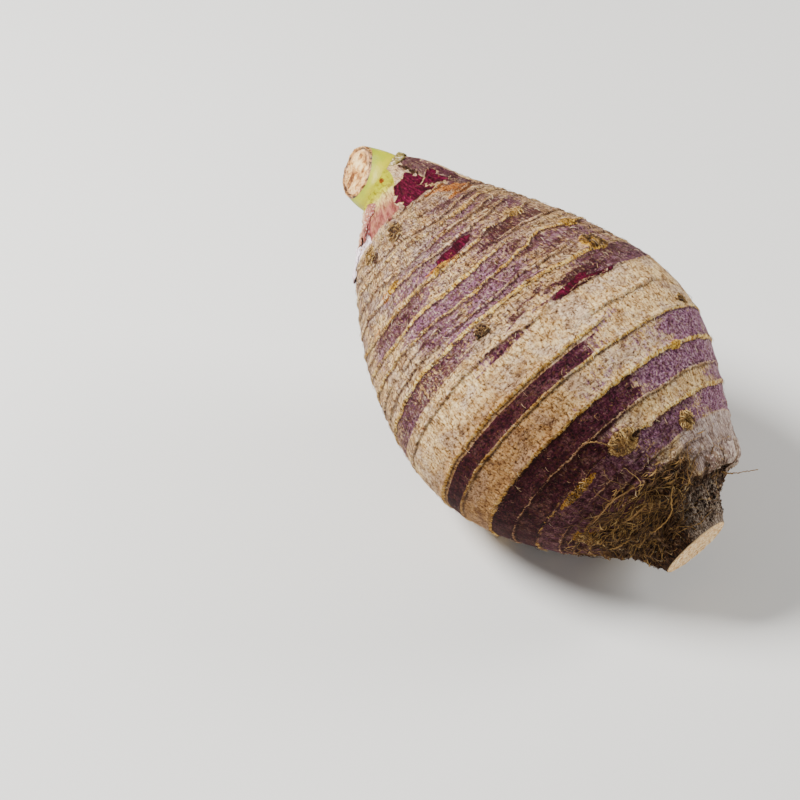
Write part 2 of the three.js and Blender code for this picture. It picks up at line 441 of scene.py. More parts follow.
raggedAngle = placeDegrees + 6 * unevenness(3, 4, 30) + 5 * unevenness(4, 1.4, 20) + 3 * unevenness(26, 1, 3)
raggedX = placeX + 0.8 * unevenness(22, 4, 5) + 0.5 * unevenness(23, 2, 2)


def between(value, low, high, edge):  # 1 from low to high, with soft edges
    return ramp(value, low - edge / 2, low + edge / 2) * (1 - ramp(value, high - edge / 2, high + edge / 2))


def roundShare(fromDegrees, toDegrees, fade):  # 1 between two angles, ragged at its ends
    half = (toDegrees - fromDegrees) / 2
    return 1 - ramp(np.abs(angleApart(raggedAngle, fromDegrees + half)), half - fade / 2, half + fade / 2)


bandEdge = {"halfWidth": 0.3, "fade": 22.0}  # in mm along the corm, in degrees round it


def band(fromCount, toCount, fromDegrees, toDegrees):  # between two scars
    past, short = (ringCount - fromCount) * ringGap, (toCount - ringCount) * ringGap
    halfWidth = bandEdge["halfWidth"]
    across = ramp(past, -halfWidth, halfWidth) * ramp(short, -halfWidth, halfWidth)
    return across * roundShare(fromDegrees, toDegrees, bandEdge["fade"])


def patch(fromX, toX, fromDegrees, toDegrees, edge, fade):  # between two places
    return between(raggedX, fromX, toX, edge) * roundShare(fromDegrees, toDegrees, fade)


def fromSide(degrees, low, high):  # 0 up to low degrees away from a side, 1 from high degrees on
    return ramp(np.abs(angleApart(placeDegrees, degrees)), low, high)


def spot(x, degrees, halfLength, halfDegrees):  # 1 in the middle of an oval, 0 at its edge
    away = ((placeX - x) / halfLength) ** 2 + (angleApart(placeDegrees, degrees) / halfDegrees) ** 2
    return np.clip(1 - away, 0, 1)


def spots(table, power=1.0):  # the strongest of several ovals: place, degrees, halves, how strong
    return np.maximum.reduce([strong * spot(*oval) ** power for *oval, strong in table])


# Colour bands: from scar, to scar (by number), from degrees, to degrees, how purple, how dark
purpleBands = [
    (1.2, 2, 60, 90, 0.5, 0.6), (2.2, 3, 82, 110, 0.8, 0.6), (3, 3.8, 81, 91, 1, 1),
    (3, 4, 70, 82, 0.8, 0.35), (3.1, 3.8, 92, 110, 0.6, 0.5), (4, 5, 68, 90, 0.7, 0.5),
    (4.2, 4.9, 88, 116, 1, 0.35), (5.1, 6, 74, 99, 1, 0.8), (5.1, 6, 99, 136, 1, 0.3),
    (5, 6, 136, 146, 0.5, 0.5), (6, 6.9, 98, 154, 1, 0.4), (6, 7, 60, 98, 0.75, 0.5),
    (7, 8, 62, 108, 1, 0.75), (7.1, 8.9, 134, 172, 0.95, 0.6), (8, 9, 76, 100, 0.65, 0.2),
    (8, 9, 100, 111, 0.6, 0.5), (9, 10, 88, 101, 0.8, 0.8), (9, 10, 101, 154, 1, 0.3),
    (10, 12, 78, 93, 0.8, 0.75), (10, 11.9, 105, 129, 1, 0.1), (10, 12, 129, 154, 0.75, 0.5),
    (10, 12, 93, 105, 0.35, 0.45), (12, 12.9, 96, 140, 0.9, 0.3), (10, 13, 44, 78, 0.62, 0.4),
    (13.1, 14, 44, 91, 1, 0.6), (13, 13.7, 130, 200, 0.8, 0.6), (14, 14.36, 116, 132, 0.8, 0.8),
    (15.3, 16.3, 94, 102, 0.6, 0.3), (16.22, 16.95, 102, 210, 1, 1), (17, 18, 20, 77, 1, 0.25),
    (17, 18, 77, 97, 0.4, 0.1), (17.3, 17.95, 97, 120, 0.38, 0.3), (18, 19, 20, 101, 1, 0.15),
    (18, 19, 101, 262, 1, 0.95), (19, 20, 20, 60, 0.7, 0.15), (19, 20, 112, 250, 0.9, 0.8),
    (20, 21.8, 20, 74, 0.85, 0.15), (20, 22, 74, 112, 1, 0.5), (20, 22.4, 112, 250, 1, 0.52),
    (22.4, 24, 112, 230, 0.8, 0.46), (3, 5, 215, 330, 0.8, 0.5), (6, 7, 200, 388, 0.8, 0.4),
    (9, 10, 210, 350, 1, 0.4), (12, 13.6, 215, 320, 1, 0.5), (14.6, 15.6, 230, 330, 0.8, 0.35),
    (17, 18, 265, 380, 1, 0.4), (18, 19, 265, 380, 0.8, 0.3), (20, 22, 250, 380, 0.9, 0.4),
]
purple = np.zeros_like(placeX)
dark = np.zeros_like(placeX)
for fromCount, toCount, fromDegrees, toDegrees, howPurple, howDark in purpleBands:
    here = band(fromCount, toCount, fromDegrees, toDegrees)
    purple = np.maximum(purple, here * howPurple)
    dark = dark * (1 - here) + here * howDark
purple = np.clip(purple + 0.34 * unevenness(5, 8, 12) * (1 - ramp(placeX, 78, 84)), 0, 1)
wedge = ramp(placeX, 74, 77) * (1 - ramp(placeX, 80.5, 83))  # a dark tear across the band
wedge = wedge * (1 - ramp(np.abs(raggedAngle - 108 - (placeX - 75) * 1.25), 0.4, 3.4))
maroon = np.maximum.reduce([patch(19, 28.5, 52, 76, 2, 8), 0.9 * patch(11, 20, 50, 70, 2, 8),
                            0.75 * patch(3, 12.5, 46, 86, 2, 10), patch(77.6, 82.6, 84, 104, 1, 8)])
purple = np.maximum.reduce([purple, 0.75 * wedge, maroon])
dark = np.maximum.reduce([dark, 0.8 * wedge, maroon])

mottle = (1 - ramp(placeX, 76, 86)) * ramp(placeX, 16, 26)  # the shoot half is speckled through and through
crust = 0.55 * ramp(placeX, 17, 22) * (1 - ramp(placeX, 40, 62)) * (0.6 + 0.4 * ramp(placeDegrees, 90, 125))
# Darkening: grime over the shoot half, and painted shade on the root half's side from about 104 to 230
# degrees round the corm, where the light falls off
shadedSide = ramp(placeDegrees, 104, 138) * (1 - ramp(placeDegrees, 200, 230))
grime = np.maximum(0.45 * mottle * (1 - 0.9 * shadedSide), ramp(placeX, 86, 98) * shadedSide)

magenta = np.maximum.reduce([
    patch(8.5, 22.4, 92, 119, 1.2, 5), patch(12.6, 21, 72, 87, 1.6, 6), patch(80.0, 82.9, 92, 101, 0.8, 5),
    0.85 * patch(81.5, 82.4, 78, 94, 0.4, 6), 0.8 * patch(46.2, 49.2, 103, 120, 0.8, 10),
    patch(61, 63.6, 292, 318, 0.8, 8), patch(97, 99.4, 238, 262, 0.8, 8), patch(12, 20, 236, 268, 2, 8),
])
rust = np.maximum.reduce([
    patch(22.8, 29.4, 76, 94, 1.4, 8), patch(48.4, 51.4, 118, 129, 0.7, 5), patch(40.4, 43, 139, 152, 0.8, 5),
    0.8 * patch(46.6, 48.4, 164, 176, 1, 6), 0.8 * patch(20, 27, 300, 322, 1.4, 8), spot(2, 121, 1.4, 5.2),
])
ochrePatches = [
    # place in mm, degrees, half length, half degrees, how bright
    (59.4, 63, 2.4, 6, 1), (71, 68, 4.2, 6.8, 1.4), (125.3, 149, 1.3, 14, 0.8),
    (133.8, 180, 3.2, 8, 0.7), (47, 77.5, 1.9, 6.5, 0.7), (98.6, 54, 1.6, 3, 0.7),
    (25, 157, 2.6, 7, 0.8), (41.8, 146, 1.2, 5, 1), (50, 123.5, 1.3, 4.4, 1), (111.2, 73.5, 1.5, 3.4, 1),
    (84, 345, 3, 12, 0.9), (57, 268, 3, 10, 0.9), (121, 290, 2, 10, 0.8),
]
ochre = spots(ochrePatches, 0.45)
eye = spots([(124.2, 117.8, 3.3, 7.8, 1), (129.4, 85.6, 2.4, 4.2, 0.9)]) ** 0.5
soil = ramp(raggedX, 129, 140) * (0.3 + 0.7 * ramp(-np.abs(angleApart(placeDegrees, 160)), -96, -60))
soil = soil * (0.75 + 0.5 * unevenness(6, 8, 8)) + 0.75 * ramp(placeX, 141, 144.5)
soil = np.maximum(soil, spots([
    (26.5, 132, 4.4, 5, 1.3), (76, 127, 2.2, 4, 1.3), (99.2, 54.5, 1.3, 2.6, 1.3), (27.6, 152, 2.2, 4, 1.3),
    (7, 84, 5, 3, 1.3), (124.8, 111, 1.2, 2.6, 1.3)]))
soil = np.clip(soil + 0.42 * patch(2.4, 12, 50, 90, 2, 8), 0, 1)
bloom = ramp(placeX, 129.5, 133) * (1 - fromSide(60, 26, 44)) * (1 - ramp(placeX, 140, 144))
bloom = 0.34 * patch(2.4, 12.5, 48, 90, 2, 8) * (1 - magenta) + bloom  # dry grey skin, also by the collar
sheathWay = placeX + 0.11 * (np.clip(placeDegrees, 100, 250) - 125)  # the dry sheaths run aslant
sheathWay = np.minimum(sheathWay, 15.5 + 12 * ramp(placeDegrees + 3 * unevenness(27, 3, 3), 150, 158))
sheathFrom = np.minimum(95 + 2.1 * placeX, 120)
sheath = ramp(placeDegrees + 2.4 * unevenness(24, 3, 3) - sheathFrom, -2, 4)
sheath = sheath * (1 - ramp(placeDegrees, 226, 240))
sheath = sheath * (1 - ramp(raggedX + 0.03 * (placeDegrees - 125), 19, 23))
dust = ramp(placeX, 143, 147) * (1 - fromSide(60, 40, 76))
print("skin fields drawn")

# Relief in mm
relief = 0.55 * unevenness(7, 26, 30) + 0.16 * unevenness(8, 6, 9)
relief += 0.34 * scar ** 0.7 * ramp(placeX, 20, 34)
step = 0.24 * np.where(scarSide < 0, 1, -0.5)  # the skin steps down behind each scar
relief += step * ramp(handStrength, 0, 0.3) * (1 - ramp(np.abs(scarSide), 0.2, 2.6))
relief += sheath * 0.2 * np.sin(sheathWay * 2.4 + unevenness(25, 6, 6))
relief += sheath * 0.5 * (1 - ramp(sheathWay, 18, 19.4))
cracks = 0.3 * np.abs(unevenness(9, 12, 2.2)) + 0.18 * np.abs(unevenness(10, 5, 1.4))
bare = 1 - 0.92 * np.clip(bloom, 0, 1) * ramp(placeX, 100, 120)
relief -= cracks * (0.6 + 0.8 * ramp(placeX, 120, 136)) * bare
rough = ramp(placeX, 126, 138) * (0.35 + 0.65 * (soil > 0.3)) * bare
relief += rough * (1.1 * unevenness(11, 5, 5) + 0.9 * np.abs(unevenness(12, 2.2, 2.6)))
relief += rough * 0.5 * unevenness(13, 1.2, 1.5)
nearShoot = (1 - ramp(placeX, 10, 34)) * ramp(placeX, 2, 9)
relief += nearShoot * (0.55 * unevenness(14, 9, 4) + 0.25 * unevenness(15, 4, 2))
lip = 1 - fromSide(62, 40, 62)  # the shoulder's skin ends in a broken lip
relief += lip * 1.3 * ramp(placeX, 134, 141) * (1 - ramp(placeX, 142.2, 142.9))
relief -= lip * 1.6 * ramp(placeX, 142.4, 143) * (1 - ramp(placeX, 145.5, 149))
buds = [
    # swelling or pit: place in mm, degrees, half length, half degrees, power, height in mm
    (124.2, 117.4, 4.2, 7.6, 0.6, 1.2), (124.9, 114.2, 1.1, 1.9, 0.5, -1.8), (71, 68, 4.4, 6.6, 0.5, 0.5),
    (129, 86, 3.2, 5, 1, 0.8), (129.4, 86, 1.4, 2.2, 1, -1.2), (64, 326, 4, 6, 0.6, 1),
    (64.6, 326, 1.5, 2.2, 1, -1.4), (98, 248, 4, 5, 0.6, 1), (118, 300, 4, 6, 0.6, 1.2),
    (118.6, 300, 1.5, 2.2, 1, -1.2),
]
for *oval, power, height in buds:
    relief += height * spot(*oval) ** power
relief += 0.7 * ochre ** 0.6 * (0.6 + 0.6 * unevenness(16, 1.6, 1.6))
relief -= 0.9 * patch(4, 19, 84, 93, 3, 4)  # the crack beside the magenta patches
relief += 0.5 * magenta * ramp(-placeX, -30, -26) * unevenness(17, 12, 1.6)
relief *= 1 - ramp(placeX, 151.5, 154.3) * 0.85

middles = middleAt(placeX)
ways = outwardAt(placeX, placeAngle)
plain = middles + ways * radius[..., None]


def gridNormals(points):
    alongStep = np.gradient(points, axis=0)
    roundStep = (np.roll(points, -1, 1) - np.roll(points, 1, 1)) / 2
    normal = np.cross(roundStep, alongStep)
    normal /= np.linalg.norm(normal, axis=-1, keepdims=True)
    outward = np.sum(normal * outwardAt(placeX, placeAngle), -1, keepdims=True)
    return np.where(np.mean(outward) < 0, -normal, normal)


plainNormals = gridNormals(softened(plain.reshape(len(rowX), -1), 2, 0).reshape(plain.shape))
skin = toScene(plain + plainNormals * relief[..., None])
skin[..., 2] = np.maximum(skin[..., 2], 0)
skinNormals = turnToScene(plainNormals)
print("relief", round(float(relief.min()), 2), round(float(relief.max()), 2))


def onSkin(x, degrees, lift):  # points over the finished skin, in metres
    x, degrees, lift = np.broadcast_arrays(np.asarray(x, float), degrees, lift)
    row = np.interp(x, rowX, np.arange(len(rowX)))
    column = (degrees % 360) / 360 * len(columnAngle)
    above = np.clip(np.floor(row).astype(int), 0, len(rowX) - 2)
    left = np.floor(column).astype(int) % len(columnAngle)
    right = (left + 1) % len(columnAngle)
    down, aside = (row - above)[..., None], (column - np.floor(column))[..., None]

    def sample(grid):
        upper = grid[above, left] * (1 - aside) + grid[above, right] * aside
        lower = grid[above + 1, left] * (1 - aside) + grid[above + 1, right] * aside
        return upper * (1 - down) + lower * down

    return sample(skin) + sample(skinNormals) * (lift * mm)[..., None]


meanRadiusAtRows = radius.mean(1)


def meanRadiusAt(x):
    return float(np.interp(x, rowX, meanRadiusAtRows))


def fieldAt(grid, x, degrees):
    row = np.clip(np.round(np.interp(x, rowX, np.arange(len(rowX)))).astype(int), 0, len(rowX) - 1)
    column = np.round(np.asarray(degrees) % 360 / 360 * len(columnAngle)).astype(int) % len(columnAngle)
    return grid[row, column]


skinFields = {
    "ringCount": ringCount, "ringGap": ringGap, "scarWidth": ringWidth, "scarOchre": scarOchre,
    "scar": scarStrength, "purple": purple, "dark": dark, "magenta": magenta, "rust": rust, "ochre": ochre,
    "soil": soil, "bloom": bloom, "dust": dust, "grime": grime, "eye": eye, "crust": crust, "sheath": sheath,
    "sheathWay": sheathWay, "mottle": mottle,
}
# The cut end and the neck's end, each closed by rings that shrink by these shares of the last one
endRings = {
    "cut": (0.97, 0.9, 0.74, 0.56, 0.38, 0.2),
    "neck": (0.8, 0.4),
    "patternX": 200.0,  # where the end's own pattern is read
    "patternRadius": 11,
}


def buildSkin():
    rows, columns = skin.shape[:2]
    patternRadius = skinGrid["patternRadius"]
    across, upwards = np.cos(placeAngle), np.sin(placeAngle)
    level = arcGrid + levelX - placeX  # whole along each scar
    skinPlace = [np.stack([level, patternRadius * across, patternRadius * upwards], -1).reshape(-1, 3)]
    cutPlace = [np.zeros(rows * columns)]
    points = [skin.reshape(-1, 3)]
    index = np.arange(rows * columns).reshape(rows, columns)
    faces = []

    def join(before, here, flipped):
        strip = np.stack([before, np.roll(before, -1, -1), np.roll(here, -1, -1), here], -1).reshape(-1, 4)
        faces.extend((strip[:, ::-1] if flipped else strip).tolist())

    def addPoints(ring, isCut, share):
        first = sum(len(p) for p in points)
        points.append(ring)
        cutPlace.append(np.full(len(ring), float(isCut)))
        turn = columnAngle[:len(ring)]
        reach = endRings["patternRadius"] * share
        skinPlace.append(np.stack([np.full(len(ring), endRings["patternX"]), reach * np.cos(turn),
                                   reach * np.sin(turn)], -1))
        return np.arange(first, first + len(ring))

    join(index[:-1], index[1:], False)
    wavy = np.random.default_rng(5).uniform(-1, 1, columns)
    wave = np.convolve(np.tile(wavy, 3), np.ones(9) / 9, "same")[columns:2 * columns]
    for isCut in (True, False):
        before, ring = (index[-1], skin[-1]) if isCut else (index[0], skin[0])
        middle = toScene(middleAt(np.array(cormFrame["length"] if isCut else 0.0)))
        outward = alongWay if isCut else -alongWay
        for depth, share in enumerate(endRings["cut" if isCut else "neck"]):
            lift = (0.25 * math.sin(depth * 2.1) + 0.3 + 0.25 * wave) * mm
            here = addPoints(middle + (ring - middle) * share + outward * lift[:, None], isCut, share)
            join(before, here, not isCut)
            before = here
        tip = addPoints((middle + outward * 0.3 * mm)[None], isCut, 0)[0]
        fan = [(before[k], before[(k + 1) % columns], tip) for k in range(columns)]
        faces.extend(fan if isCut else [(b, a, c) for a, b, c in fan])
    piece = newMesh("corm_skin", np.concatenate(points), faces)
    setField(piece, "skinPlace", np.concatenate(skinPlace))
    setField(piece, "cutPlace", np.concatenate(cutPlace))
    for name, grid in skinFields.items():
        beyond = np.zeros(len(piece.data.vertices) - grid.size)
        setField(piece, name, np.concatenate([grid.reshape(-1), beyond]))
    return piece


cormSkin = buildSkin()
print("corm skin built", len(cormSkin.data.polygons), "faces")


def skinMaterial():
    material, board, surface = newMaterial("taroSkin", roughness=0.85, specular=0.1)
    place = board.field("skinPlace", "Vector")
    purpleHere, darkHere, scarHere, soilHere, ochreHere, rustHere, magentaHere, bloomHere, sheathHere = (
        board.field(name) for name in (
            "purple", "dark", "scar", "soil", "ochre", "rust", "magenta", "bloom", "sheath"))
    mottleHere, widthHere, crustHere, eyeShare = (
        board.field(name) for name in ("mottle", "scarWidth", "crust", "eye"))

    # strokes along the corm, then grains, a net, patches and clouds, frayed edges, creases round the corm
    fibre = board.noise(board.stretch(place, (0.6, 1.8, 1.8)), 1.0, 2, 0.6, 0.8)
    grit = board.noise(place, 1.5, 1.5, 0.65)
    mesh = board.noise(board.stretch(place, (1.3, 0.8, 0.8)), 0.95, 2, 0.65, 1.2)
    patchy = board.noise(place, 0.55, 4, 0.7, 0.4)
    cloud = board.noise(place, 0.14, 4, 0.6, 0.3)
    fray = board.noise(board.stretch(place, (0.25, 1.5, 1.5)), 1.0, 2, 0.6)
    ringed = board.noise(board.stretch(place, (1.5, 0.14, 0.14)), 1.0, 3, 0.6, 0.5)
    grain = fibre * 0.5 + grit * 0.35 + mesh * 0.15
    cross = mesh * 0.45 + grit * 0.4 + fibre * 0.15

    pepper = board.noise(place, 0.9, 2, 0.65, 0.6)
    blotch = board.noise(place, 0.3, 2, 0.55, 0.5)

    # tan ground, and bands of lilac and deep purple
    tan = board.colours(grain, [
        (0.37, "#54381c"), (0.44, "#a07c4a"), (0.50, "#d2ae78"), (0.62, "#e8cd98")])
    greyTan = board.colours(cross, [
        (0.37, "#4a3426"), (0.44, "#937658"), (0.50, "#c4a888"), (0.62, "#dcc4a0")])
    tan = board.blend(board.step(cloud + (patchy - 0.5) * 0.3, 0.46, 0.60), tan, greyTan)
    lilac = board.colours(cross, [
        (0.39, "#30142a"), (0.45, "#643a56"), (0.52, "#8a6079"), (0.61, "#bc99ab")])
    deep = board.colours(cross, [
        (0.40, "#16050a"), (0.47, "#351020"), (0.54, "#4a1c2e"), (0.62, "#653448")])
    darkest = board.step(darkHere + (patchy - 0.5) * 1.2 + (grit - 0.5) * 0.5, 0.25, 0.75)
    violet = board.blend(darkest, lilac, deep)
    torn = (patchy - 0.5) * 1.1 + (fray - 0.5) * 0.9 + (grit - 0.5) * 0.9
    speckled = ((mesh - 0.5) * 1.4 + (pepper - 0.5) * 1.1 + (blotch - 0.5) * 1.3) * mottleHere
    purpleMask = board.step(purpleHere + torn + speckled, 0.34, 0.62)
    colour = board.blend(purpleMask, tan, violet)

    def coat(share, over, mode="MIX"):
        nonlocal colour
        colour = board.blend(share, colour, over, mode)

    # dull scurf over the purple, and dark grime over all of the shoot half
    scurf = board.step(blotch * 0.7 + mesh * 0.3, 0.50, 0.60) * purpleMask * (0.8 - magentaHere * 0.8)
    coat(scurf * (0.78 - darkHere * 0.6), board.colours(grit * 0.5 + fibre * 0.5, [
        (0.4, "#3a2420"), (0.5, "#75594f"), (0.6, "#a88e80")]))
    coat(board.step(crustHere + (blotch - 0.5) * 2.2 + (mesh - 0.5) * 1.2, 0.52, 0.8) * 0.85, board.colours(
        grit * 0.4 + mesh * 0.6, [
            (0.40, "#1d120a"), (0.46, "#55422a"), (0.52, "#8a734a"), (0.60, "#c2aa76")]))
    # grey scurf, pores and specks on the shoot half
    greyed = board.step(crustHere + (cloud - 0.5) * 1.6 + (patchy - 0.5) * 1.4, 0.42, 0.72)
    coat(greyed * 0.55, board.colours(cross, [
        (0.40, "#2e1e22"), (0.47, "#6e5860"), (0.53, "#9a868a"), (0.61, "#cdbcb4")]))
    pores = board.step(board.noise(place, 1.2, 1, 0.6, 0.4), 0.56, 0.66)
    coat(pores * 0.6, "#54341f")
    murk = board.step(mesh * 0.4 + pepper * 0.35 + ringed * 0.25, 0.51, 0.57)
    coat(murk * mottleHere * 0.9, board.colours(grit, [
        (0.4, "#1c0d08"), (0.5, "#472a20"), (0.6, "#70503e")]))
    ash = board.step(pepper * 0.6 + fibre * 0.4, 0.55, 0.61)
    coat(ash * mottleHere * 0.3, "#dcc7b0")
    coat(board.step(bloomHere + (patchy - 0.5) * 0.4, 0.3, 0.6) * 0.92, board.colours(
        fray * 0.65 + grit * 0.35, [
            (0.40, "#7a6660"), (0.47, "#97847e"), (0.53, "#ab9993"), (0.60, "#c4b5ad")]))

    # bare magenta, rust, and the dry sheaths that run from green through cream and pink to white
    red = board.colours(fibre * 0.3 + patchy * 0.4 + fray * 0.3, [
        (0.38, "#100006"), (0.46, "#330011"), (0.54, "#520322"), (0.66, "#82244a")])
    redEdge = magentaHere + (patchy - 0.5) * 0.5 + (fray - 0.5) * 0.25
    coat(board.step(redEdge, 0.12, 0.3), "#2a0a12")
    coat(board.step(redEdge, 0.3, 0.42), red)
    rusty = board.colours(grain, [(0.38, "#4b2009"), (0.5, "#9c5a20"), (0.62, "#dca45c")])
    coat(board.step(rustHere + (patchy - 0.5) * 1.2 + (fray - 0.5) * 0.8, 0.4, 0.7), rusty)
    pleat = board.noise(board.stretch(place, (0.2, 1.1, 1.1)), 0.6, 3, 0.6)
    way = board.field("sheathWay") * 0.033
    way = way + (pleat - 0.5) * board.step(way, 0.1, 0.3) * 0.2 + (cloud - 0.5) * 0.08
    sheathed = board.colours(way, [
        (0.14, "#a3a202"), (0.22, "#b6b02c"), (0.29, "#d4bf72"), (0.39, "#cba36c"),
        (0.47, "#aa7458"), (0.54, "#8a4444"), (0.60, "#6e2c34"), (0.63, "#3c1620"),
        (0.66, "#e8cfd6"), (0.8, "#f1e2e8")])
    folds = board.step(fray * 0.6 + pleat * 0.4, 0.51, 0.57) * board.step(way, 0.24, 0.34) * 0.75
    sheathed = board.blend(folds, sheathed, "#6a3a30")
    sore = board.step(rustHere + (grit - 0.5) * 0.8, 0.2, 0.7)
    sheathed = board.blend(sore, sheathed, board.colours(grain, [(0.42, "#5c2204"), (0.58, "#a85a10")]))
    coat(board.step(sheathHere + (patchy - 0.5) * 0.6, 0.4, 0.6), sheathed)

    # ochre and straw scars in long dashes round the corm, thin and broken, with a dark lower side
    drawn = board.noise(board.stretch(place, (1.4, 0.3, 0.3)), 1.0, 3, 0.65, 0.3)
    count = board.field("ringCount")
    whole = board.add("ShaderNodeMath", {"operation": "ROUND"}, {0: count})["Value"]
    apart = (count - whole) * board.field("ringGap") + (patchy - 0.5) * 1.6 + (grit - 0.5) * 0.7
    off = board.add("ShaderNodeMath", {"operation": "ABSOLUTE"}, {0: apart})["Value"]
    golden = board.colours(grain, [
        (0.38, "#6b4214"), (0.45, "#b88b38"), (0.52, "#dcb866"), (0.61, "#f5e4aa")])
    straw = board.colours(grain, [
        (0.38, "#5f3a28"), (0.45, "#b58a66"), (0.52, "#d9b48c"), (0.61, "#f6e2c2")])
    golden = board.blend(board.step(board.field("scarOchre") + (cloud - 0.5) * 1.6, 0.25, 0.8), straw, golden)
    broken = board.step(scarHere + (drawn - 0.5) * 2.4 + (grit - 0.5) * 0.8, 0.38, 0.66)
    under = board.step(apart, 0.1, 0.5) * (1 - board.step(apart, 0.7, 1.3))
    above = board.step(0 - apart, 0.2, 0.6) * (1 - board.step(0 - apart, 0.6, 1.1))
    above = above * board.step(drawn, 0.5, 0.6)
    shadow = (under + above) * board.step(scarHere + (drawn - 0.5) * 1.2, 0.25, 0.5)
    coat(shadow * 0.72, "#2e1611")
    line = (1 - board.step(off - widthHere * (mesh * 0.6 + drawn * 0.9 - 0.42), -0.14, 0.2)) * broken
    coat(line, golden)
    patchMask = board.step(ochreHere + (mesh - 0.5) * 1.5 + (patchy - 0.5) * 1.0, 0.3, 0.5)
    coat(patchMask, board.colours(mesh * 0.6 + grit * 0.4, [
        (0.40, "#2c1806"), (0.46, "#7c5616"), (0.52, "#b58a28"), (0.62, "#dcb65a")]))

    # eyes, soil and dust
    eyeHere = board.step(eyeShare + (mesh - 0.5) * 0.7, 0.16, 0.36)
    coat(board.step(eyeShare + (mesh - 0.5) * 0.5, 0.02, 0.2) * 0.7, "#2a160c")
    coat(eyeHere, board.colours(fibre * 0.5 + mesh * 0.5, [
        (0.38, "#28180c"), (0.45, "#75562e"), (0.51, "#a08048"), (0.60, "#ccb07a")]))

    earth = board.colours(grit * 0.5 + patchy * 0.5, [
        (0.40, "#090402"), (0.48, "#25130a"), (0.55, "#4c321f"), (0.66, "#8a6a48")])
    coat(board.step(soilHere + (patchy - 0.5) * 0.9, 0.3, 0.7), earth)
    coat(board.step(board.field("dust") + (patchy - 0.5) * 1.2, 0.3, 0.7) * 0.8, board.colours(grit, [
        (0.40, "#2e221a"), (0.5, "#7c6c5e"), (0.6, "#b5a594")]))

    # dark and pale specks, creases and wear over all
    specks = board.step(board.noise(board.stretch(place, (1.2, 1.7, 1.7)), 0.75, 1.5, 0.65), 0.58, 0.63)
    calm = 1 - board.step(redEdge, 0.2, 0.4) - sheathHere * 0.75
    coat(specks * (mottleHere * 0.45 + 0.4) * calm, "#2c150f")
    pale = board.step(board.noise(board.stretch(place, (1.0, 2.2, 2.2)), 0.9, 2, 0.7, 0.8), 0.60, 0.67)
    coat(pale * (0.34 - darkHere * 0.28) * calm, "#f0dcbc")
    creased = 1 - board.step(ringed, 0.40, 0.47)
    coat(creased * (mottleHere * 0.6 + 0.06) * calm, "#4a2c22")
    # multiplies in the shoot half's grime and the painted shade on the root half's shaded side
    coat(board.field("grime"), "#c9b7a9", "MULTIPLY")
    worn = board.noise(place, 0.3, 5, 0.65, 0.6)
    coat(1, board.colours(worn, [
        (0.36, "#bdb0aa"), (0.46, "#e9e2dc"), (0.56, "#ffffff")]), "MULTIPLY")

    pith = board.colours(board.noise(place, 0.9, 4, 0.65), [
        (0.38, "#b07a48"), (0.46, "#deb07a"), (0.54, "#efcf9c"), (0.64, "#f9e8c4")])
    coat(board.field("cutPlace"), pith)
    height = fibre * 0.35 + grit * 0.3 + mesh * 0.25 + line * 0.35 + patchy * 0.8 * soilHere + ringed * 0.3
    finishPaint(board, surface, colour, height, 0.0006, 0.8)
    return material


cormSkin.data.materials.append(skinMaterial())
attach(cormSkin, "root")
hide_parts("corm")
print("corm skin painted")

# Strands: tapering tubes gathered into one mesh, with a shade of its own for each
strandClearance = 0.0002  # m over the surface that the corm rests on


class Strands:
    def __init__(self, sides):
        self.sides, self.points, self.faces, self.shade = sides, [], [], []

    def add(self, path, thickness, shade):  # path in metres, thickness in mm at each point
        path = np.asarray(path)
        tangent = np.gradient(path, axis=0)
        tangent /= np.linalg.norm(tangent, axis=1, keepdims=True) + 1e-12
        guide = np.cross(tangent[0], (0.31, 0.22, 0.92))
        first = len(self.points)
        count = len(path)
        for i in range(count):
            guide = guide - tangent[i] * np.dot(guide, tangent[i])
            guide /= np.linalg.norm(guide) + 1e-12
            other = np.cross(tangent[i], guide)
            for k in range(self.sides):
                turn = 2 * math.pi * k / self.sides
                offset = (guide * math.cos(turn) + other * math.sin(turn)) * thickness[i] * mm
                self.points.append(path[i] + offset)
                self.shade.append(shade)
        for i in range(count - 1):
            for k in range(self.sides):
                a, b = first + i * self.sides + k, first + i * self.sides + (k + 1) % self.sides
                self.faces.append((a, b, b + self.sides, a + self.sides))
        self.faces.append(tuple(first + k for k in reversed(range(self.sides))))
        self.faces.append(tuple(first + (count - 1) * self.sides + k for k in range(self.sides)))

    def build(self, name, material):
        points = np.array(self.points)
        points[:, 2] = np.maximum(points[:, 2], strandClearance)
        piece = newMesh(name, points, self.faces)
        setField(piece, "shade", self.shade)
        piece.data.materials.append(material)
        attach(piece, "root")
        return piece


def strandMaterial(name, stops, roughness=0.8):
    material, board, surface = newMaterial(name, roughness)
    place = board.objectPlace()
    mottled = board.noise(place, 900, 3, 0.6)
    colour = board.colours(board.field("shade") * 0.7 + mottled * 0.3, stops)
    finishPaint(board, surface, colour, mottled, 0.0002, 0.6)
    return material


hairPaint = strandMaterial("hairRootFibre", [
    (0.15, "#1e1108"), (0.38, "#583b20"), (0.58, "#a07a42"), (0.85, "#dcbc80")])

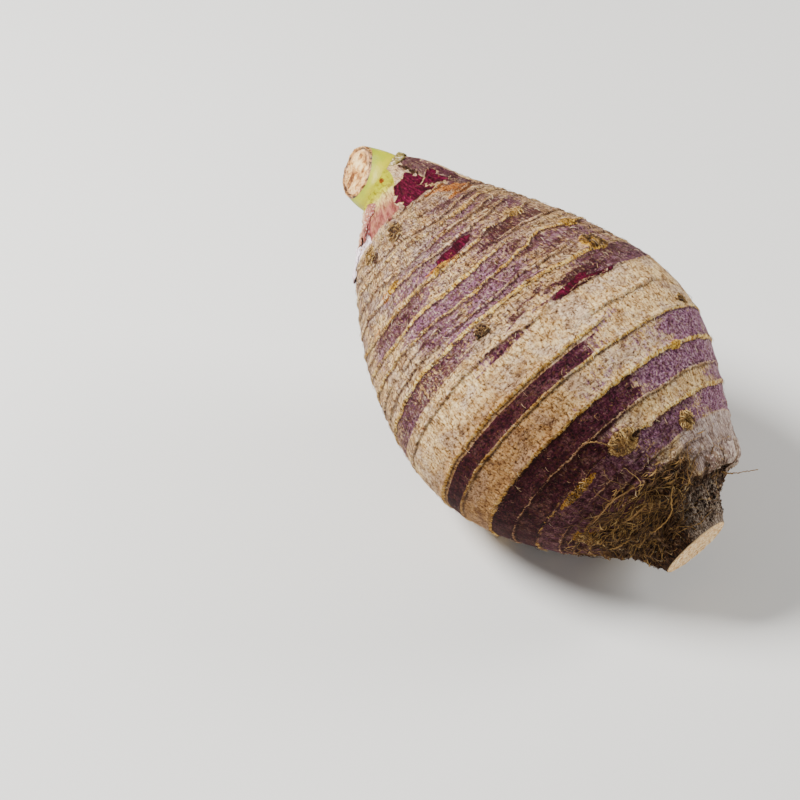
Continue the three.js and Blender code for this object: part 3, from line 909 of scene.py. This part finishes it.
# Hair roots of the frame, each with its taper and kinks
hairRoots = {
    "thickness": 0.27,  # radius in mm at the thick end
    "bedded": -0.3,  # lift of the ends, which sit in the skin
    "standing": 6,  # the one whose far end stands off the skin
    "sides": 8,
    "stations": 40,
    "kink": 0.09,
    "routes": [
        [(137.7, 107, 0.2), (141.2, 121, 0.5), (144.3, 128, 1.2), (144.7, 149, 1.0), (143.9, 159, 0.3)],
        [(134.3, 131, 0.2), (132.8, 145, 0.6), (132.8, 159, 0.6), (132.5, 170, 0.2)],
        [(139.7, 133, 0.2), (138.3, 151, 0.9), (138.4, 163, 0.3)],
        [(142.2, 171, 0.4), (139.6, 182, 1.0), (138.4, 196, 0.3)],
        [(117.4, 131, 0.2), (119.4, 126, 0.8), (123, 123, 0.3)],
        [(144, 33, 0), (143.6, 33, 3.2), (142.2, 33.5, 7.4)],
        [(141, 224, 0.2), (137.4, 238, 0.9), (135.8, 252, 0.2)],
        [(144.4, 296, 0.3), (142, 312, 0.9), (141.6, 328, 0.2)],
        [(138, 18, 0.2), (134.4, 6, 0.8), (132.6, -10, 0.2)],
    ],
}


def curved(points, count, kink, rng):  # a smooth path through the points, with small kinks
    padded = np.concatenate([[2 * points[0] - points[1]], points, [2 * points[-1] - points[-2]]])
    path = []
    for share in np.linspace(0, len(points) - 1 - 1e-6, count):
        t = share - int(share)
        before, here, there, after = padded[int(share):int(share) + 4]
        square = 2 * before - 5 * here + 4 * there - after
        cube = 3 * here - before - 3 * there + after
        path.append(0.5 * (2 * here + (there - before) * t + square * t * t + cube * t ** 3))
    path = np.array(path)
    path[1:-1] += rng.normal(0, kink * mm, (count - 2, 3))
    return path


def buildHairRoots():
    rng = np.random.default_rng(31)
    for number, route in enumerate(hairRoots["routes"], 1):
        strands = Strands(hairRoots["sides"])
        places = np.array(route, float)
        lifts = places[:, 2] + 0.2
        lifts[0] = hairRoots["bedded"]
        if number != hairRoots["standing"]:
            lifts[-1] = hairRoots["bedded"]
        path = onSkin(places[:, 0], places[:, 1], lifts)
        path = curved(path, hairRoots["stations"], hairRoots["kink"], rng)
        share = np.linspace(0, 1, len(path))
        thickness = hairRoots["thickness"] * (1 - 0.55 * share) * (1 + 0.12 * rng.normal(size=len(path)))
        strands.add(path, thickness, 0.4 + 0.25 * rng.random())
        piece = strands.build(f"hair_root_strand_{number}", hairPaint)
        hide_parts(f"hair_root_{number}")


buildHairRoots()
print("hair roots built")

# Leaf stalk stub, in the corm's frame
stalk = {
    "cutFacing": (-0.58, -0.726, 0.366),
    "length": 9.1,
    "rootRadius": 10.25,
    "tipRadius": 8.3,
    "rows": 60,
    "columns": 144,
    "bedded": 0.8,  # how deep the stub sits in the neck
    # the cut face is darker towards its rim on this side
    "bruisedSide": 287,  # degrees round the cut face
    # rings of the cut face: share of the rim's radius, and lift in mm
    "cutRings": [
        (0.985, 0.28), (0.95, 0.42), (0.91, 0.3), (0.87, -0.12), (0.82, -0.05), (0.77, 0.16), (0.7, 0.1),
        (0.62, 0.2), (0.52, 0.12), (0.42, 0.24), (0.32, 0.14), (0.22, 0.26), (0.12, 0.2),
    ],
}


def buildStalk():
    turn = math.radians(cormFrame["stalkTurnDegrees"])
    heading = np.array([-math.cos(turn), -math.sin(turn), 0])
    cutFacing = np.array(stalk["cutFacing"]) / np.linalg.norm(stalk["cutFacing"])
    sideways = np.cross((0, 0, 1), heading)
    upwards = np.cross(heading, sideways)
    angle = np.linspace(0, 2 * math.pi, stalk["columns"], endpoint=False)
    start = middleAt(np.array(0.0)) - heading * stalk["bedded"]
    points, faces, along, inside, leftward = [], [], [], [], []

    def addRing(ring, alongShare, insideShare):
        first = len(points)
        points.extend(ring)
        along.extend([alongShare] * len(ring))
        inside.extend([insideShare] * len(ring))
        towards = np.cos(angle[:len(ring)] - math.radians(stalk["bruisedSide"]))
        leftward.extend((1 - insideShare) * towards)
        return np.arange(first, first + len(ring))

    def ringAt(share, scale):
        folds = 0.035 * np.cos(2 * angle + 0.6) + 0.02 * np.cos(5 * angle + 2)
        folds = folds + 0.012 * np.cos(9 * angle + share)
        swell = 0.05 * math.sin(math.pi * share)
        base = stalk["rootRadius"] + (stalk["tipRadius"] - stalk["rootRadius"]) * share
        reach = base * (1 + folds * (0.4 + 0.6 * share) + swell) * scale
        offset = (np.cos(angle)[:, None] * sideways + np.sin(angle)[:, None] * upwards) * reach[:, None]
        slant = -(offset @ cutFacing) / np.dot(heading, cutFacing) * share ** 1.5
        centre = start + heading * (stalk["length"] + stalk["bedded"]) * share
        return centre + offset + slant[:, None] * heading

    rings = [addRing(ringAt(i / stalk["rows"], 1), i / stalk["rows"], 0) for i in range(stalk["rows"] + 1)]
    rng = np.random.default_rng(8)
    for scale, lift in stalk["cutRings"]:
        bumps = np.tile(rng.normal(0, 0.3, len(angle)), 3)
        bumps = np.convolve(bumps, np.ones(5) / 5, "same")[len(angle):2 * len(angle)]
        raised = ringAt(1, scale) + cutFacing * (lift + bumps)[:, None]
        rings.append(addRing(raised, 1, 1 - scale + 0.001))
    for before, here in zip(rings, rings[1:]):
        faces.extend(np.stack([before, np.roll(before, -1), np.roll(here, -1), here], -1).tolist())
    tip = addRing((ringAt(1, 0).mean(0) + cutFacing * 0.2)[None], 1, 1)[0]
    foot = addRing(start[None], 0, 0)[0]
    for k in range(len(angle)):
        aside = (k + 1) % len(angle)
        faces.append((rings[-1][k], rings[-1][aside], tip))
        faces.append((rings[0][aside], rings[0][k], foot))
    leftward[-1] = 0
    piece = newMesh("leaf_stalk_stub_cut", toScene(np.array(points)), faces)
    for name, values in (("along", along), ("inside", inside), ("leftward", leftward)):
        setField(piece, name, values)
    return piece


def stalkMaterial():
    material, board, surface = newMaterial("leafStalkGreen", roughness=0.5, specular=0.35)
    place = board.objectPlace()
    along, inside, leftward = board.field("along"), board.field("inside"), board.field("leftward")
    soft = board.noise(place, 160, 3, 0.55)
    fine = board.noise(place, 900, 3, 0.6)
    veins = board.noise(board.stretch(place, (60, 60, 420)), 1, 3, 0.6, 0.4)
    green = board.colours(soft * 0.5 + along * 0.3 + veins * 0.2, [
        (0.22, "#c6b314"), (0.38, "#aea604"), (0.55, "#969a00"), (0.75, "#7c8800")])
    green = board.blend(board.step(veins, 0.54, 0.64) * 0.3, green, "#c8b638")
    brown = board.colours(fine, [(0.38, "#221006"), (0.48, "#5c3818"), (0.62, "#ae7c44")])
    rim = board.step(along + (soft - 0.5) * 0.08, 0.91, 0.965)
    colour = board.blend(rim, green, brown)
    flesh = board.colours(board.noise(place, 260, 5, 0.7) * 0.8 + fine * 0.2, [
        (0.38, "#5e300c"), (0.44, "#96602a"), (0.49, "#c89350"), (0.60, "#f2cf92")])
    # the cut face darkens towards its rim on one side
    rimDarkening = board.step(leftward * 0.5 + board.noise(place, 300, 4, 0.65), 0.66, 0.84)
    flesh = board.blend(rimDarkening * 0.9, flesh, board.colours(fine, [
        (0.38, "#4c2408"), (0.48, "#86521e"), (0.62, "#c4924e")]))
    bark = board.step(board.noise(place, 500, 3, 0.7) - leftward * 0.6, 0.84, 0.98)
    flesh = board.blend(bark * 0.85, flesh, brown)
    sheaths = board.step(inside, 0.055, 0.08) * (1 - board.step(inside, 0.12, 0.15))
    flesh = board.blend(sheaths * 0.9, flesh, brown)
    inner = board.step(inside, 0.13, 0.16) * (1 - board.step(inside, 0.2, 0.24))
    flesh = board.blend(inner * 0.5, flesh, "#d9a878")
    colour = board.blend(board.step(inside, 0.0, 0.03), colour, flesh)
    finishPaint(board, surface, colour, fine * 0.5 + soft * 0.2 + veins * 0.3, 0.0006, 0.6)
    return material


stalkStub = buildStalk()
stalkStub.data.materials.append(stalkMaterial())
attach(stalkStub, "root")
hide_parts("leaf_stalk_stub")
print("leaf stalk stub built")

# Thin scales and torn flakes that lie over the skin


flakeGrid = {"steps": 26, "rounds": 30, "restClearance": 0.0001}


def buildFlake(name, sheet, seed):  # a closed thin sheet over the skin, from its start to its free edge
    rng = np.random.default_rng(seed)
    steps, rounds = flakeGrid["steps"], flakeGrid["rounds"]
    reach, side = np.meshgrid(np.linspace(0, 1, steps), np.linspace(0, 1, rounds), indexing="ij")
    torn = sheet["ragged"]
    ragged = np.interp(side, np.linspace(0, 1, 7), rng.normal(0, torn, 7))
    ragged = ragged + np.interp(side, np.linspace(0, 1, 31), rng.normal(0, torn * 0.5, 31))
    x = sheet["from"] + (sheet["to"] - sheet["from"]) * (reach * (1 + ragged))
    degrees = sheet["degrees"] + sheet["half"] * sheet["width"](reach) * (2 * side - 1)
    edge = np.maximum(np.abs(2 * side - 1) ** 3, np.clip(reach * 1.6 - 0.6, 0, 1) ** 3)
    depth = np.minimum(np.minimum(side, 1 - side) * 8, reach * 8)
    bedded = -0.5 * (1 - np.clip(depth, 0, 1))  # all but the free edge
    ripple = sheet["ripple"] * np.sin(reach * 7 + side * 9 + seed) * np.sin(side * 5 + 1)
    lift = 0.15 + sheet["lift"] * reach + sheet["curl"] * edge + ripple + bedded
    outside = onSkin(x, degrees, lift + sheet["thickness"] * (1 - 0.7 * edge))
    inside = onSkin(x, degrees, lift)
    outside[..., 2] = np.maximum(outside[..., 2], 2 * flakeGrid["restClearance"])
    inside[..., 2] = np.maximum(inside[..., 2], flakeGrid["restClearance"])
    upper = np.arange(steps * rounds).reshape(steps, rounds)
    lower = upper + steps * rounds
    faces = []
    for i in range(steps - 1):
        for k in range(rounds - 1):
            faces.append((upper[i, k], upper[i, k + 1], upper[i + 1, k + 1], upper[i + 1, k]))
            faces.append((lower[i, k], lower[i + 1, k], lower[i + 1, k + 1], lower[i, k + 1]))
    rim = [(i, 0) for i in range(steps)] + [(steps - 1, k) for k in range(1, rounds)]
    rim += [(i, rounds - 1) for i in range(steps - 2, -1, -1)] + [(0, k) for k in range(rounds - 2, 0, -1)]
    for here, there in zip(rim, rim[1:] + rim[:1]):
        faces.append((upper[here], upper[there], lower[there], lower[here]))
    piece = newMesh(name, np.concatenate([outside.reshape(-1, 3), inside.reshape(-1, 3)]), faces)
    setField(piece, "side", np.tile(side.reshape(-1), 2))
    return piece


def flakeMaterial(name, stops):
    material, board, surface = newMaterial(name, roughness=0.6)
    place = board.objectPlace()
    streak = board.noise(board.stretch(place, (260, 700, 700)), 1, 4, 0.6)
    fine = board.noise(place, 1200, 2, 0.6)
    colour = board.colours(board.field("side") * 0.55 + streak * 0.45, stops)
    colour = board.blend(board.step(fine * 0.35 + streak * 0.65, 0.51, 0.58) * 0.7, colour, "#4a2c22")
    colour = board.blend((1 - board.step(fine * 0.6 + streak * 0.4, 0.40, 0.47)) * 0.5, colour, "#f0dcc4")
    finishPaint(board, surface, colour, streak * 0.6 + fine * 0.4, 0.0006, 0.8)
    return material


def leafShape(reach):
    return 0.35 + 0.65 * np.sin(math.pi * np.clip(reach, 0, 1) ** 0.8)


def strapShape(reach):
    return 1 - 0.25 * reach ** 2


def sheetOf(fromX, toX, degrees, half, lift, curl, thickness, width, ripple, ragged=0.05):
    return {"from": fromX, "to": toX, "degrees": degrees, "half": half, "lift": lift, "curl": curl,
            "thickness": thickness, "width": width, "ripple": ripple, "ragged": ragged}


flakes = [
    # name, record slot, sheet, colours from side to side
    ("bud_scale_sheet", "scale_pink", sheetOf(1.5, 14.5, 178, 30, 0.3, 0.25, 0.5, leafShape, 0.15),
     ("#7c3430", "#ac7054", "#c49a76", "#d6bab2")),
    ("white_scale", "scale_pink", sheetOf(12, 23, 190, 13, 0.3, 0.3, 0.5, leafShape, 0.2),
     ("#efe0e6", "#ead6e0", "#d9b9c9", "#efe4ea")),
    ("olive_collar", "stalk_green", sheetOf(0.2, 2.8, 62, 30, 0.1, 0.1, 0.8, strapShape, 0.05, 0.22),
     ("#4e481e", "#8a8034", "#665628", "#9a8a4c")),
    ("far_sheath", "scale_pink", sheetOf(0.3, 14, 300, 50, 0.2, 0.3, 0.5, strapShape, 0.2),
     ("#c9a58c", "#a86f6c", "#d9c3a0", "#8d6a5a")),
    ("shoulder_flap_1", "corm_skin", sheetOf(137.5, 143.4, 36, 12, 0.3, 0.2, 0.4, strapShape, 0.2, 0.2),
     ("#9a8474", "#b59c86", "#7f6a62", "#a88f78")),
    ("shoulder_flap_2", "corm_skin", sheetOf(138.5, 143.6, 60, 10, 0.3, 0.2, 0.4, strapShape, 0.2, 0.2),
     ("#9d8a80", "#b39c8c", "#80685f", "#a0846c")),
    ("shoulder_flap_3", "corm_skin", sheetOf(139, 143.2, 79, 7, 0.2, 0.2, 0.3, strapShape, 0.2, 0.25),
     ("#5d4438", "#8a6c54", "#6a5048", "#7d6048")),
]


def buildFlakes():
    for number, (name, slotName, sheet, codes) in enumerate(flakes):
        piece = buildFlake(name, sheet, 3 + number)
        stops = [(0.22 + 0.19 * k, code) for k, code in enumerate(codes)]
        piece.data.materials.append(flakeMaterial(name + "Paint", stops))
        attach(piece, "root")
        if name == "bud_scale_sheet":
            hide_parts("neck_bud_scale")


buildFlakes()
print("scales and sheaths built")

# Dormant eyes: short flat strokes that fan out from a scar; a tufted eye's strokes lie every way
eyeStroke = {"sides": 4, "stations": 5, "length": (0.7, 2.0), "thickness": (0.06, 0.15)}  # mm
eyeTaper = np.array([0.7, 1, 1, 0.85, 0.4])
eyes = [
    # x, degrees, half length in mm, half width in mm, strokes, lift in mm, shade, tufted
    (71, 68, 4.0, 4.6, 130, 0.12, 0.16, 0), (129.4, 85, 2.8, 3.4, 110, 0.6, 0.58, 1),
    (26.5, 132, 4.2, 3.2, 120, 0.5, 0.30, 1), (25, 156, 3.2, 2.6, 90, 0.45, 0.5, 1),
    (76, 127, 2.2, 3.0, 70, 0.4, 0.25, 1), (99.2, 53.6, 1.6, 1.8, 50, 0.3, 0.36, 1),
    (47, 77.5, 2.0, 4.4, 80, 0.15, 0.55, 1), (124.2, 117.6, 3.2, 4.6, 60, 0.02, 0.3, 0),
    (125.3, 149, 1.2, 6.5, 60, 0.05, 0.3, 1), (133.8, 180, 2.8, 4.0, 90, 0.2, 0.55, 1),
    (64, 326, 3.6, 4.0, 90, 0.1, 0.6, 0), (98, 248, 3.4, 3.6, 90, 0.1, 0.6, 0),
    (118, 300, 3.2, 3.4, 90, 0.5, 0.55, 1), (84, 350, 2.6, 5, 80, 0.1, 0.6, 0),
]


def buildEyes():
    rng = np.random.default_rng(77)
    strands = Strands(eyeStroke["sides"])
    for x, degrees, halfLength, halfWidth, count, lift, shade, tufted in eyes:
        around = meanRadiusAt(x)
        for _ in range(count):
            way, lean = rng.uniform(0, 2 * math.pi, 2)
            start, length = rng.uniform(0.15, 1.0) ** 0.6, rng.uniform(*eyeStroke["length"])
            run = np.linspace(0, 1, eyeStroke["stations"])[:, None]
            middle = np.array([halfLength * math.cos(way), halfWidth * math.sin(way)]) * start * 0.85
            heading = lean if tufted else way + rng.normal(0, 0.35)
            step = np.array([math.cos(heading), math.sin(heading)]) * length
            bend = np.array([-step[1], step[0]]) * rng.normal(0, 0.25)
            path = middle + (run - 0.5) * step + bend * np.sin(math.pi * run)
            height = 0.05 + lift * rng.uniform(0.1, 1.2) * np.sin(np.linspace(0.3, 2.7, len(run)))
            thickness = rng.uniform(*eyeStroke["thickness"]) * eyeTaper
            places = onSkin(x + path[:, 0], degrees + np.degrees(path[:, 1] / around), height)
            strands.add(places, thickness, np.clip(shade + rng.normal(0, 0.24), 0.02, 0.95))
    strands.build("eye_strokes", hairPaint)


buildEyes()
print("eyes built")

# The mat of dead root fibres over the root end, which wanders over the skin
mat = {
    "strands": 760,
    "chips": 210,
    "sides": 4,
    "thickness": (0.05, 0.15),  # mm
    "step": 1.0,  # mm between a strand's places
    "along": (129, 142, 152),  # lowest, commonest and highest place of a strand's start
    "reach": (124, 153.2),  # a strand ends past these
    "front": (158, 30),  # degrees: middle and spread of the side where most strands lie
    "frontShare": 0.6,
    "chipAlong": (130, 137, 149),
    "chipRound": (150, 30),
    "leastRadius": 10.0,
    "clearance": 0.0004,  # m over the surface that the corm rests on
}
chipTaper = np.array([0.3, 0.8, 1, 1, 0.75, 0.25])


def addStrand(strands, rng):
    front = rng.random() < mat["frontShare"]
    x = rng.triangular(*mat["along"])
    degrees = rng.normal(*mat["front"]) if front else rng.uniform(0, 360)
    heading = rng.normal(math.pi / 2, 0.45) * rng.choice([-1, 1])
    count = int(rng.integers(5, 16))
    if fieldAt(bloom, x, degrees) > 0.2:  # the shoulder stays bare
        return
    places = []
    base, lift = rng.uniform(0.0, 0.6), 0.1
    for k in range(count):
        around = max(mat["leastRadius"], meanRadiusAt(x))
        places.append((x, degrees, lift))
        x += mat["step"] * math.cos(heading) * 0.8
        degrees += math.degrees(mat["step"] * math.sin(heading) / around)
        heading += rng.normal(0, 0.26)
        lift = 0.05 + base * math.sin(math.pi * (k + 1) / count) + abs(rng.normal(0, 0.1))
        if not mat["reach"][0] < x < mat["reach"][1]:
            break
    if len(places) < 4:
        return
    thickness = rng.uniform(*mat["thickness"]) * np.linspace(1, 0.45, len(places))
    points = onSkin(*np.array(places).T)
    points[:, 2] = np.maximum(points[:, 2], mat["clearance"])
    strands.add(points, thickness, 0.85 * rng.beta(1.7, 2.6))


def addChip(strands, rng):  # a short stiff splinter along the rings
    x, degrees = rng.triangular(*mat["chipAlong"]), rng.normal(*mat["chipRound"])
    around = max(mat["leastRadius"], meanRadiusAt(x))
    length, tilt = rng.uniform(1.2, 4.2), rng.normal(0, 0.35)
    run = np.linspace(-0.5, 0.5, len(chipTaper))
    bend = rng.normal(0, 0.4) * (run ** 2 - 0.25)
    chipX = x + run * length * math.sin(tilt) + bend
    chipDegrees = degrees + np.degrees(run * length * math.cos(tilt) / around)
    lifts = 0.12 + rng.uniform(0, 0.5) * (0.25 - run ** 2) * 4
    thickness = rng.uniform(0.08, 0.2) * chipTaper
    strands.add(onSkin(chipX, chipDegrees, lifts), thickness, np.clip(rng.normal(0.45, 0.17), 0.08, 0.9))


def buildMat():
    rng = np.random.default_rng(404)
    strands = Strands(mat["sides"])
    for addOne, count in ((addStrand, mat["strands"]), (addChip, mat["chips"])):
        for _ in range(count):
            addOne(strands, rng)
    strands.build("root_fibre_mat", hairPaint)


buildMat()
print("fibre mat built")

# What is spread over the skin by Geometry Nodes: one small shape, thick where its share is high


def scatterTree(name, sizes, makeShape, tones):  # tones: the lowest and highest shade
    tree = bpy.data.node_groups.new(name, "GeometryNodeTree")
    kinds = {"Geometry": "Geometry", "density": "Float", "seed": "Int", "paint": "Material"}
    kinds.update({size: "Float" for size in sizes})
    names = {}
    for label, kind in kinds.items():
        socket = tree.interface.new_socket(label, in_out="INPUT", socket_type="NodeSocket" + kind)
        names[label] = socket.identifier
    tree.interface.new_socket("Geometry", in_out="OUTPUT", socket_type="NodeSocketGeometry")
    board = Board(tree)
    given = board.add("NodeGroupInput")
    share = board.add("GeometryNodeInputNamedAttribute", {"data_type": "FLOAT"}, {"Name": "share"})
    spread = board.add("GeometryNodeDistributePointsOnFaces", {"distribute_method": "RANDOM"}, {
        "Mesh": given["Geometry"], "Density": given["density"] * share["Attribute"], "Seed": given["seed"]})
    shape, rotation, scale = makeShape(board, given, spread)
    placed = board.add("GeometryNodeInstanceOnPoints", {}, {
        "Points": spread["Points"], "Instance": shape, "Rotation": rotation, "Scale": scale})["Instances"]
    toned = board.add("GeometryNodeStoreNamedAttribute", {"data_type": "FLOAT", "domain": "INSTANCE"}, {
        "Geometry": placed, "Name": "shade", "Value": board.random("FLOAT", *tones, 5)})["Geometry"]
    real = board.add("GeometryNodeRealizeInstances", {}, {"Geometry": toned})["Geometry"]
    return tree, names, board, real, given["paint"]


def endTree(board, geometry, material):
    painted = board.add("GeometryNodeSetMaterial", {}, {"Geometry": geometry, "Material": material})
    board.add("NodeGroupOutput", {}, {"Geometry": painted["Geometry"]})


def spreadOverSkin(name, tree, names, inputs, fields):  # fields are over the skin's grid
    carrier = bpy.data.objects.new(name + "Carrier", cormSkin.data.copy())
    bpy.context.collection.objects.link(carrier)
    count = skin.shape[0] * skin.shape[1]
    for field, grid in fields.items():
        values = np.zeros((len(carrier.data.vertices),) + grid.shape[2:])
        values[:count] = grid.reshape(count, *grid.shape[2:])
        setField(carrier, field, values)
    worker = carrier.modifiers.new(name, "NODES")
    worker.node_group = tree
    for label, value in inputs.items():
        worker[names[label]] = value
    graph = bpy.context.evaluated_depsgraph_get()
    piece = bpy.data.objects.new(name, bpy.data.meshes.new_from_object(carrier.evaluated_get(graph)))
    bpy.context.collection.objects.link(piece)
    bpy.data.objects.remove(carrier)
    print(name, len(piece.data.polygons), "faces")
    return piece


# Short loose fibres all over the skin, thick along the scars and at the root end
fuzz = {"perSquareMetre": 220000.0, "length": 1.9, "thickness": 0.05, "seed": 6, "tones": (0.1, 0.95)}


def fibreShape(board, given, spread):
    grain = board.add("GeometryNodeInputNamedAttribute", {"data_type": "FLOAT_VECTOR"}, {"Name": "grainWay"})
    stood = board.add("FunctionNodeAlignRotationToVector", {"axis": "Z"}, {"Vector": spread["Normal"]})
    laid = board.add("FunctionNodeAlignRotationToVector", {"axis": "X", "pivot_axis": "Z"}, {
        "Rotation": stood["Rotation"], "Vector": grain["Attribute"]})
    swing = board.random("FLOAT_VECTOR", (-0.12, -0.35, -1.0), (0.12, 0.05, 1.0), 3)
    swung = board.add("FunctionNodeEulerToRotation", {}, {"Euler": swing})
    turned = board.add("FunctionNodeRotateRotation", {"rotation_space": "LOCAL"}, {
        "Rotation": laid["Rotation"], "Rotate By": swung["Rotation"]})
    unit = board.add("GeometryNodeCurvePrimitiveBezierSegment", {}, {
        "Resolution": 4, "Start": (-0.5, 0, 0), "Start Handle": (-0.2, 0.05, 0.16),
        "End Handle": (0.2, -0.12, 0.22), "End": (0.5, 0.06, 0.02)})
    lengths = board.add("ShaderNodeCombineXYZ", {}, {axis: given["length"] for axis in "XYZ"})
    long = board.add("GeometryNodeTransform", {}, {"Geometry": unit["Curve"], "Scale": lengths["Vector"]})
    section = board.add("GeometryNodeCurvePrimitiveCircle", {}, {
        "Resolution": 3, "Radius": given["thickness"]})
    blade = board.add("GeometryNodeCurveToMesh", {}, {
        "Curve": long["Geometry"], "Profile Curve": section["Curve"], "Fill Caps": True})
    return blade["Mesh"], turned["Rotation"], board.random("FLOAT", 0.45, 1.35, 4)


def buildFuzz():
    tree, names, board, real, paintInput = scatterTree(
        "skinFuzz", ("length", "thickness"), fibreShape, fuzz["tones"])
    endTree(board, real, paintInput)
    away = ramp(skin[..., 2], 0.002, 0.006)  # none where the belly rests
    amount = (0.10 + 1.1 * scar + 0.6 * soil + 0.25 * mottle) * away
    amount = amount * ramp(placeX, 6, 16) * (1 - magenta) * (1 - sheath)
    amount = np.clip(amount * (1 - 0.8 * np.clip(bloom, 0, 1)), 0, None) * (1 - ramp(placeX, 152, 153.5))
    ways = np.gradient(skin, axis=0)
    grainWay = ways / (np.linalg.norm(ways, axis=-1, keepdims=True) + 1e-9)
    fibrePaint = strandMaterial("skinFuzzFibre", [
        (0.15, "#2e1a14"), (0.4, "#6f5140"), (0.62, "#b29268"), (0.85, "#ead7b0")])
    inputs = {"density": fuzz["perSquareMetre"], "length": fuzz["length"] * mm,
              "thickness": fuzz["thickness"] * mm, "seed": fuzz["seed"], "paint": fibrePaint}
    piece = spreadOverSkin("skin_fuzz", tree, names, inputs, {"share": amount, "grainWay": grainWay})
    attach(piece, "root")


buildFuzz()

# Crumbs of soil caught at the root end and in the tufted eyes
crumbs = {"perSquareMetre": 620000.0, "size": 0.5, "seed": 12, "tones": (0.05, 0.75), "lumps": 0.0006}


def crumbShape(board, given, spread):
    crumb = board.add("GeometryNodeMeshIcoSphere", {}, {"Radius": given["size"], "Subdivisions": 2})["Mesh"]
    turn = board.random("FLOAT_VECTOR", (-3.1, -3.1, -3.1), (3.1, 3.1, 3.1), 2)
    turned = board.add("FunctionNodeEulerToRotation", {}, {"Euler": turn})["Rotation"]
    return crumb, turned, board.random("FLOAT_VECTOR", (0.35, 0.3, 0.2), (1.5, 1.1, 0.8), 1)


def buildCrumbs():
    tree, names, board, real, paintInput = scatterTree("soilCrumbs", ("size",), crumbShape, crumbs["tones"])
    here = board.add("GeometryNodeInputPosition")["Position"]
    rough = board.add("ShaderNodeTexNoise", {}, {"Vector": here, "Scale": 2600.0, "Detail": 1.0})["Color"]
    centred = board.add("ShaderNodeVectorMath", {"operation": "SUBTRACT"}, {0: rough, 1: (0.5, 0.5, 0.5)})
    shift = board.stretch(centred["Vector"], (crumbs["lumps"],) * 3)
    lumpy = board.add("GeometryNodeSetPosition", {}, {"Geometry": real, "Offset": shift})["Geometry"]
    endTree(board, lumpy, paintInput)
    amount = ramp(soil, 0.35, 0.9) * ramp(skin[..., 2], 0.002, 0.005) * (1 - ramp(placeX, 152.5, 153.2))
    amount = amount * (0.5 + 0.5 * ramp(placeX, 137, 145))
    soilPaint = strandMaterial("drySoil", [
        (0.15, "#0f0805"), (0.4, "#2c1a10"), (0.62, "#5c4330"), (0.85, "#9a7c58")], 0.95)
    inputs = {"density": crumbs["perSquareMetre"], "size": crumbs["size"] * mm, "seed": crumbs["seed"],
              "paint": soilPaint}
    piece = spreadOverSkin("soil_crumbs", tree, names, inputs, {"share": amount})
    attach(piece, "root")


buildCrumbs()

# Plain pale floor and soft studio light

studio = {
    # name, place in m, size in m, power in W
    "lights": [
        ("key", (-0.43, -0.39, 0.70), 0.32, 22),
        ("rim", (0.30, 0.78, 0.50), 0.5, 9),
        ("fill", (0.75, -0.45, 0.45), 0.9, 2.2),
    ],
    "aim": (0, 0, 0.045),
    "floorSize": 6,
    "floor": "#d9d7d2",
    "air": "#eef0f4",
    "airStrength": 0.22,
}


def buildStage():
    bpy.ops.mesh.primitive_plane_add(size=studio["floorSize"])
    floor = bpy.context.active_object
    floor.name = "floor"
    material, _, surface = newMaterial("paleFloor", roughness=0.7, specular=0.2)
    surface.inputs["Base Color"].default_value = paint(studio["floor"])
    floor.data.materials.append(material)
    for name, place, size, power in studio["lights"]:
        light = bpy.data.objects.new(name, bpy.data.lights.new(name, "AREA"))
        light.data.shape = "DISK"
        light.data.size = size
        light.data.energy = power
        light.location = place
        light.rotation_euler = (Vector(studio["aim"]) - Vector(place)).to_track_quat("-Z", "Y").to_euler()
        bpy.context.collection.objects.link(light)
    world = bpy.data.worlds.new("studio")
    world.use_nodes = True
    air = world.node_tree.nodes["Background"].inputs
    air["Color"].default_value = paint(studio["air"])
    air["Strength"].default_value = studio["airStrength"]
    bpy.context.scene.world = world


buildStage()
print("stage lit")
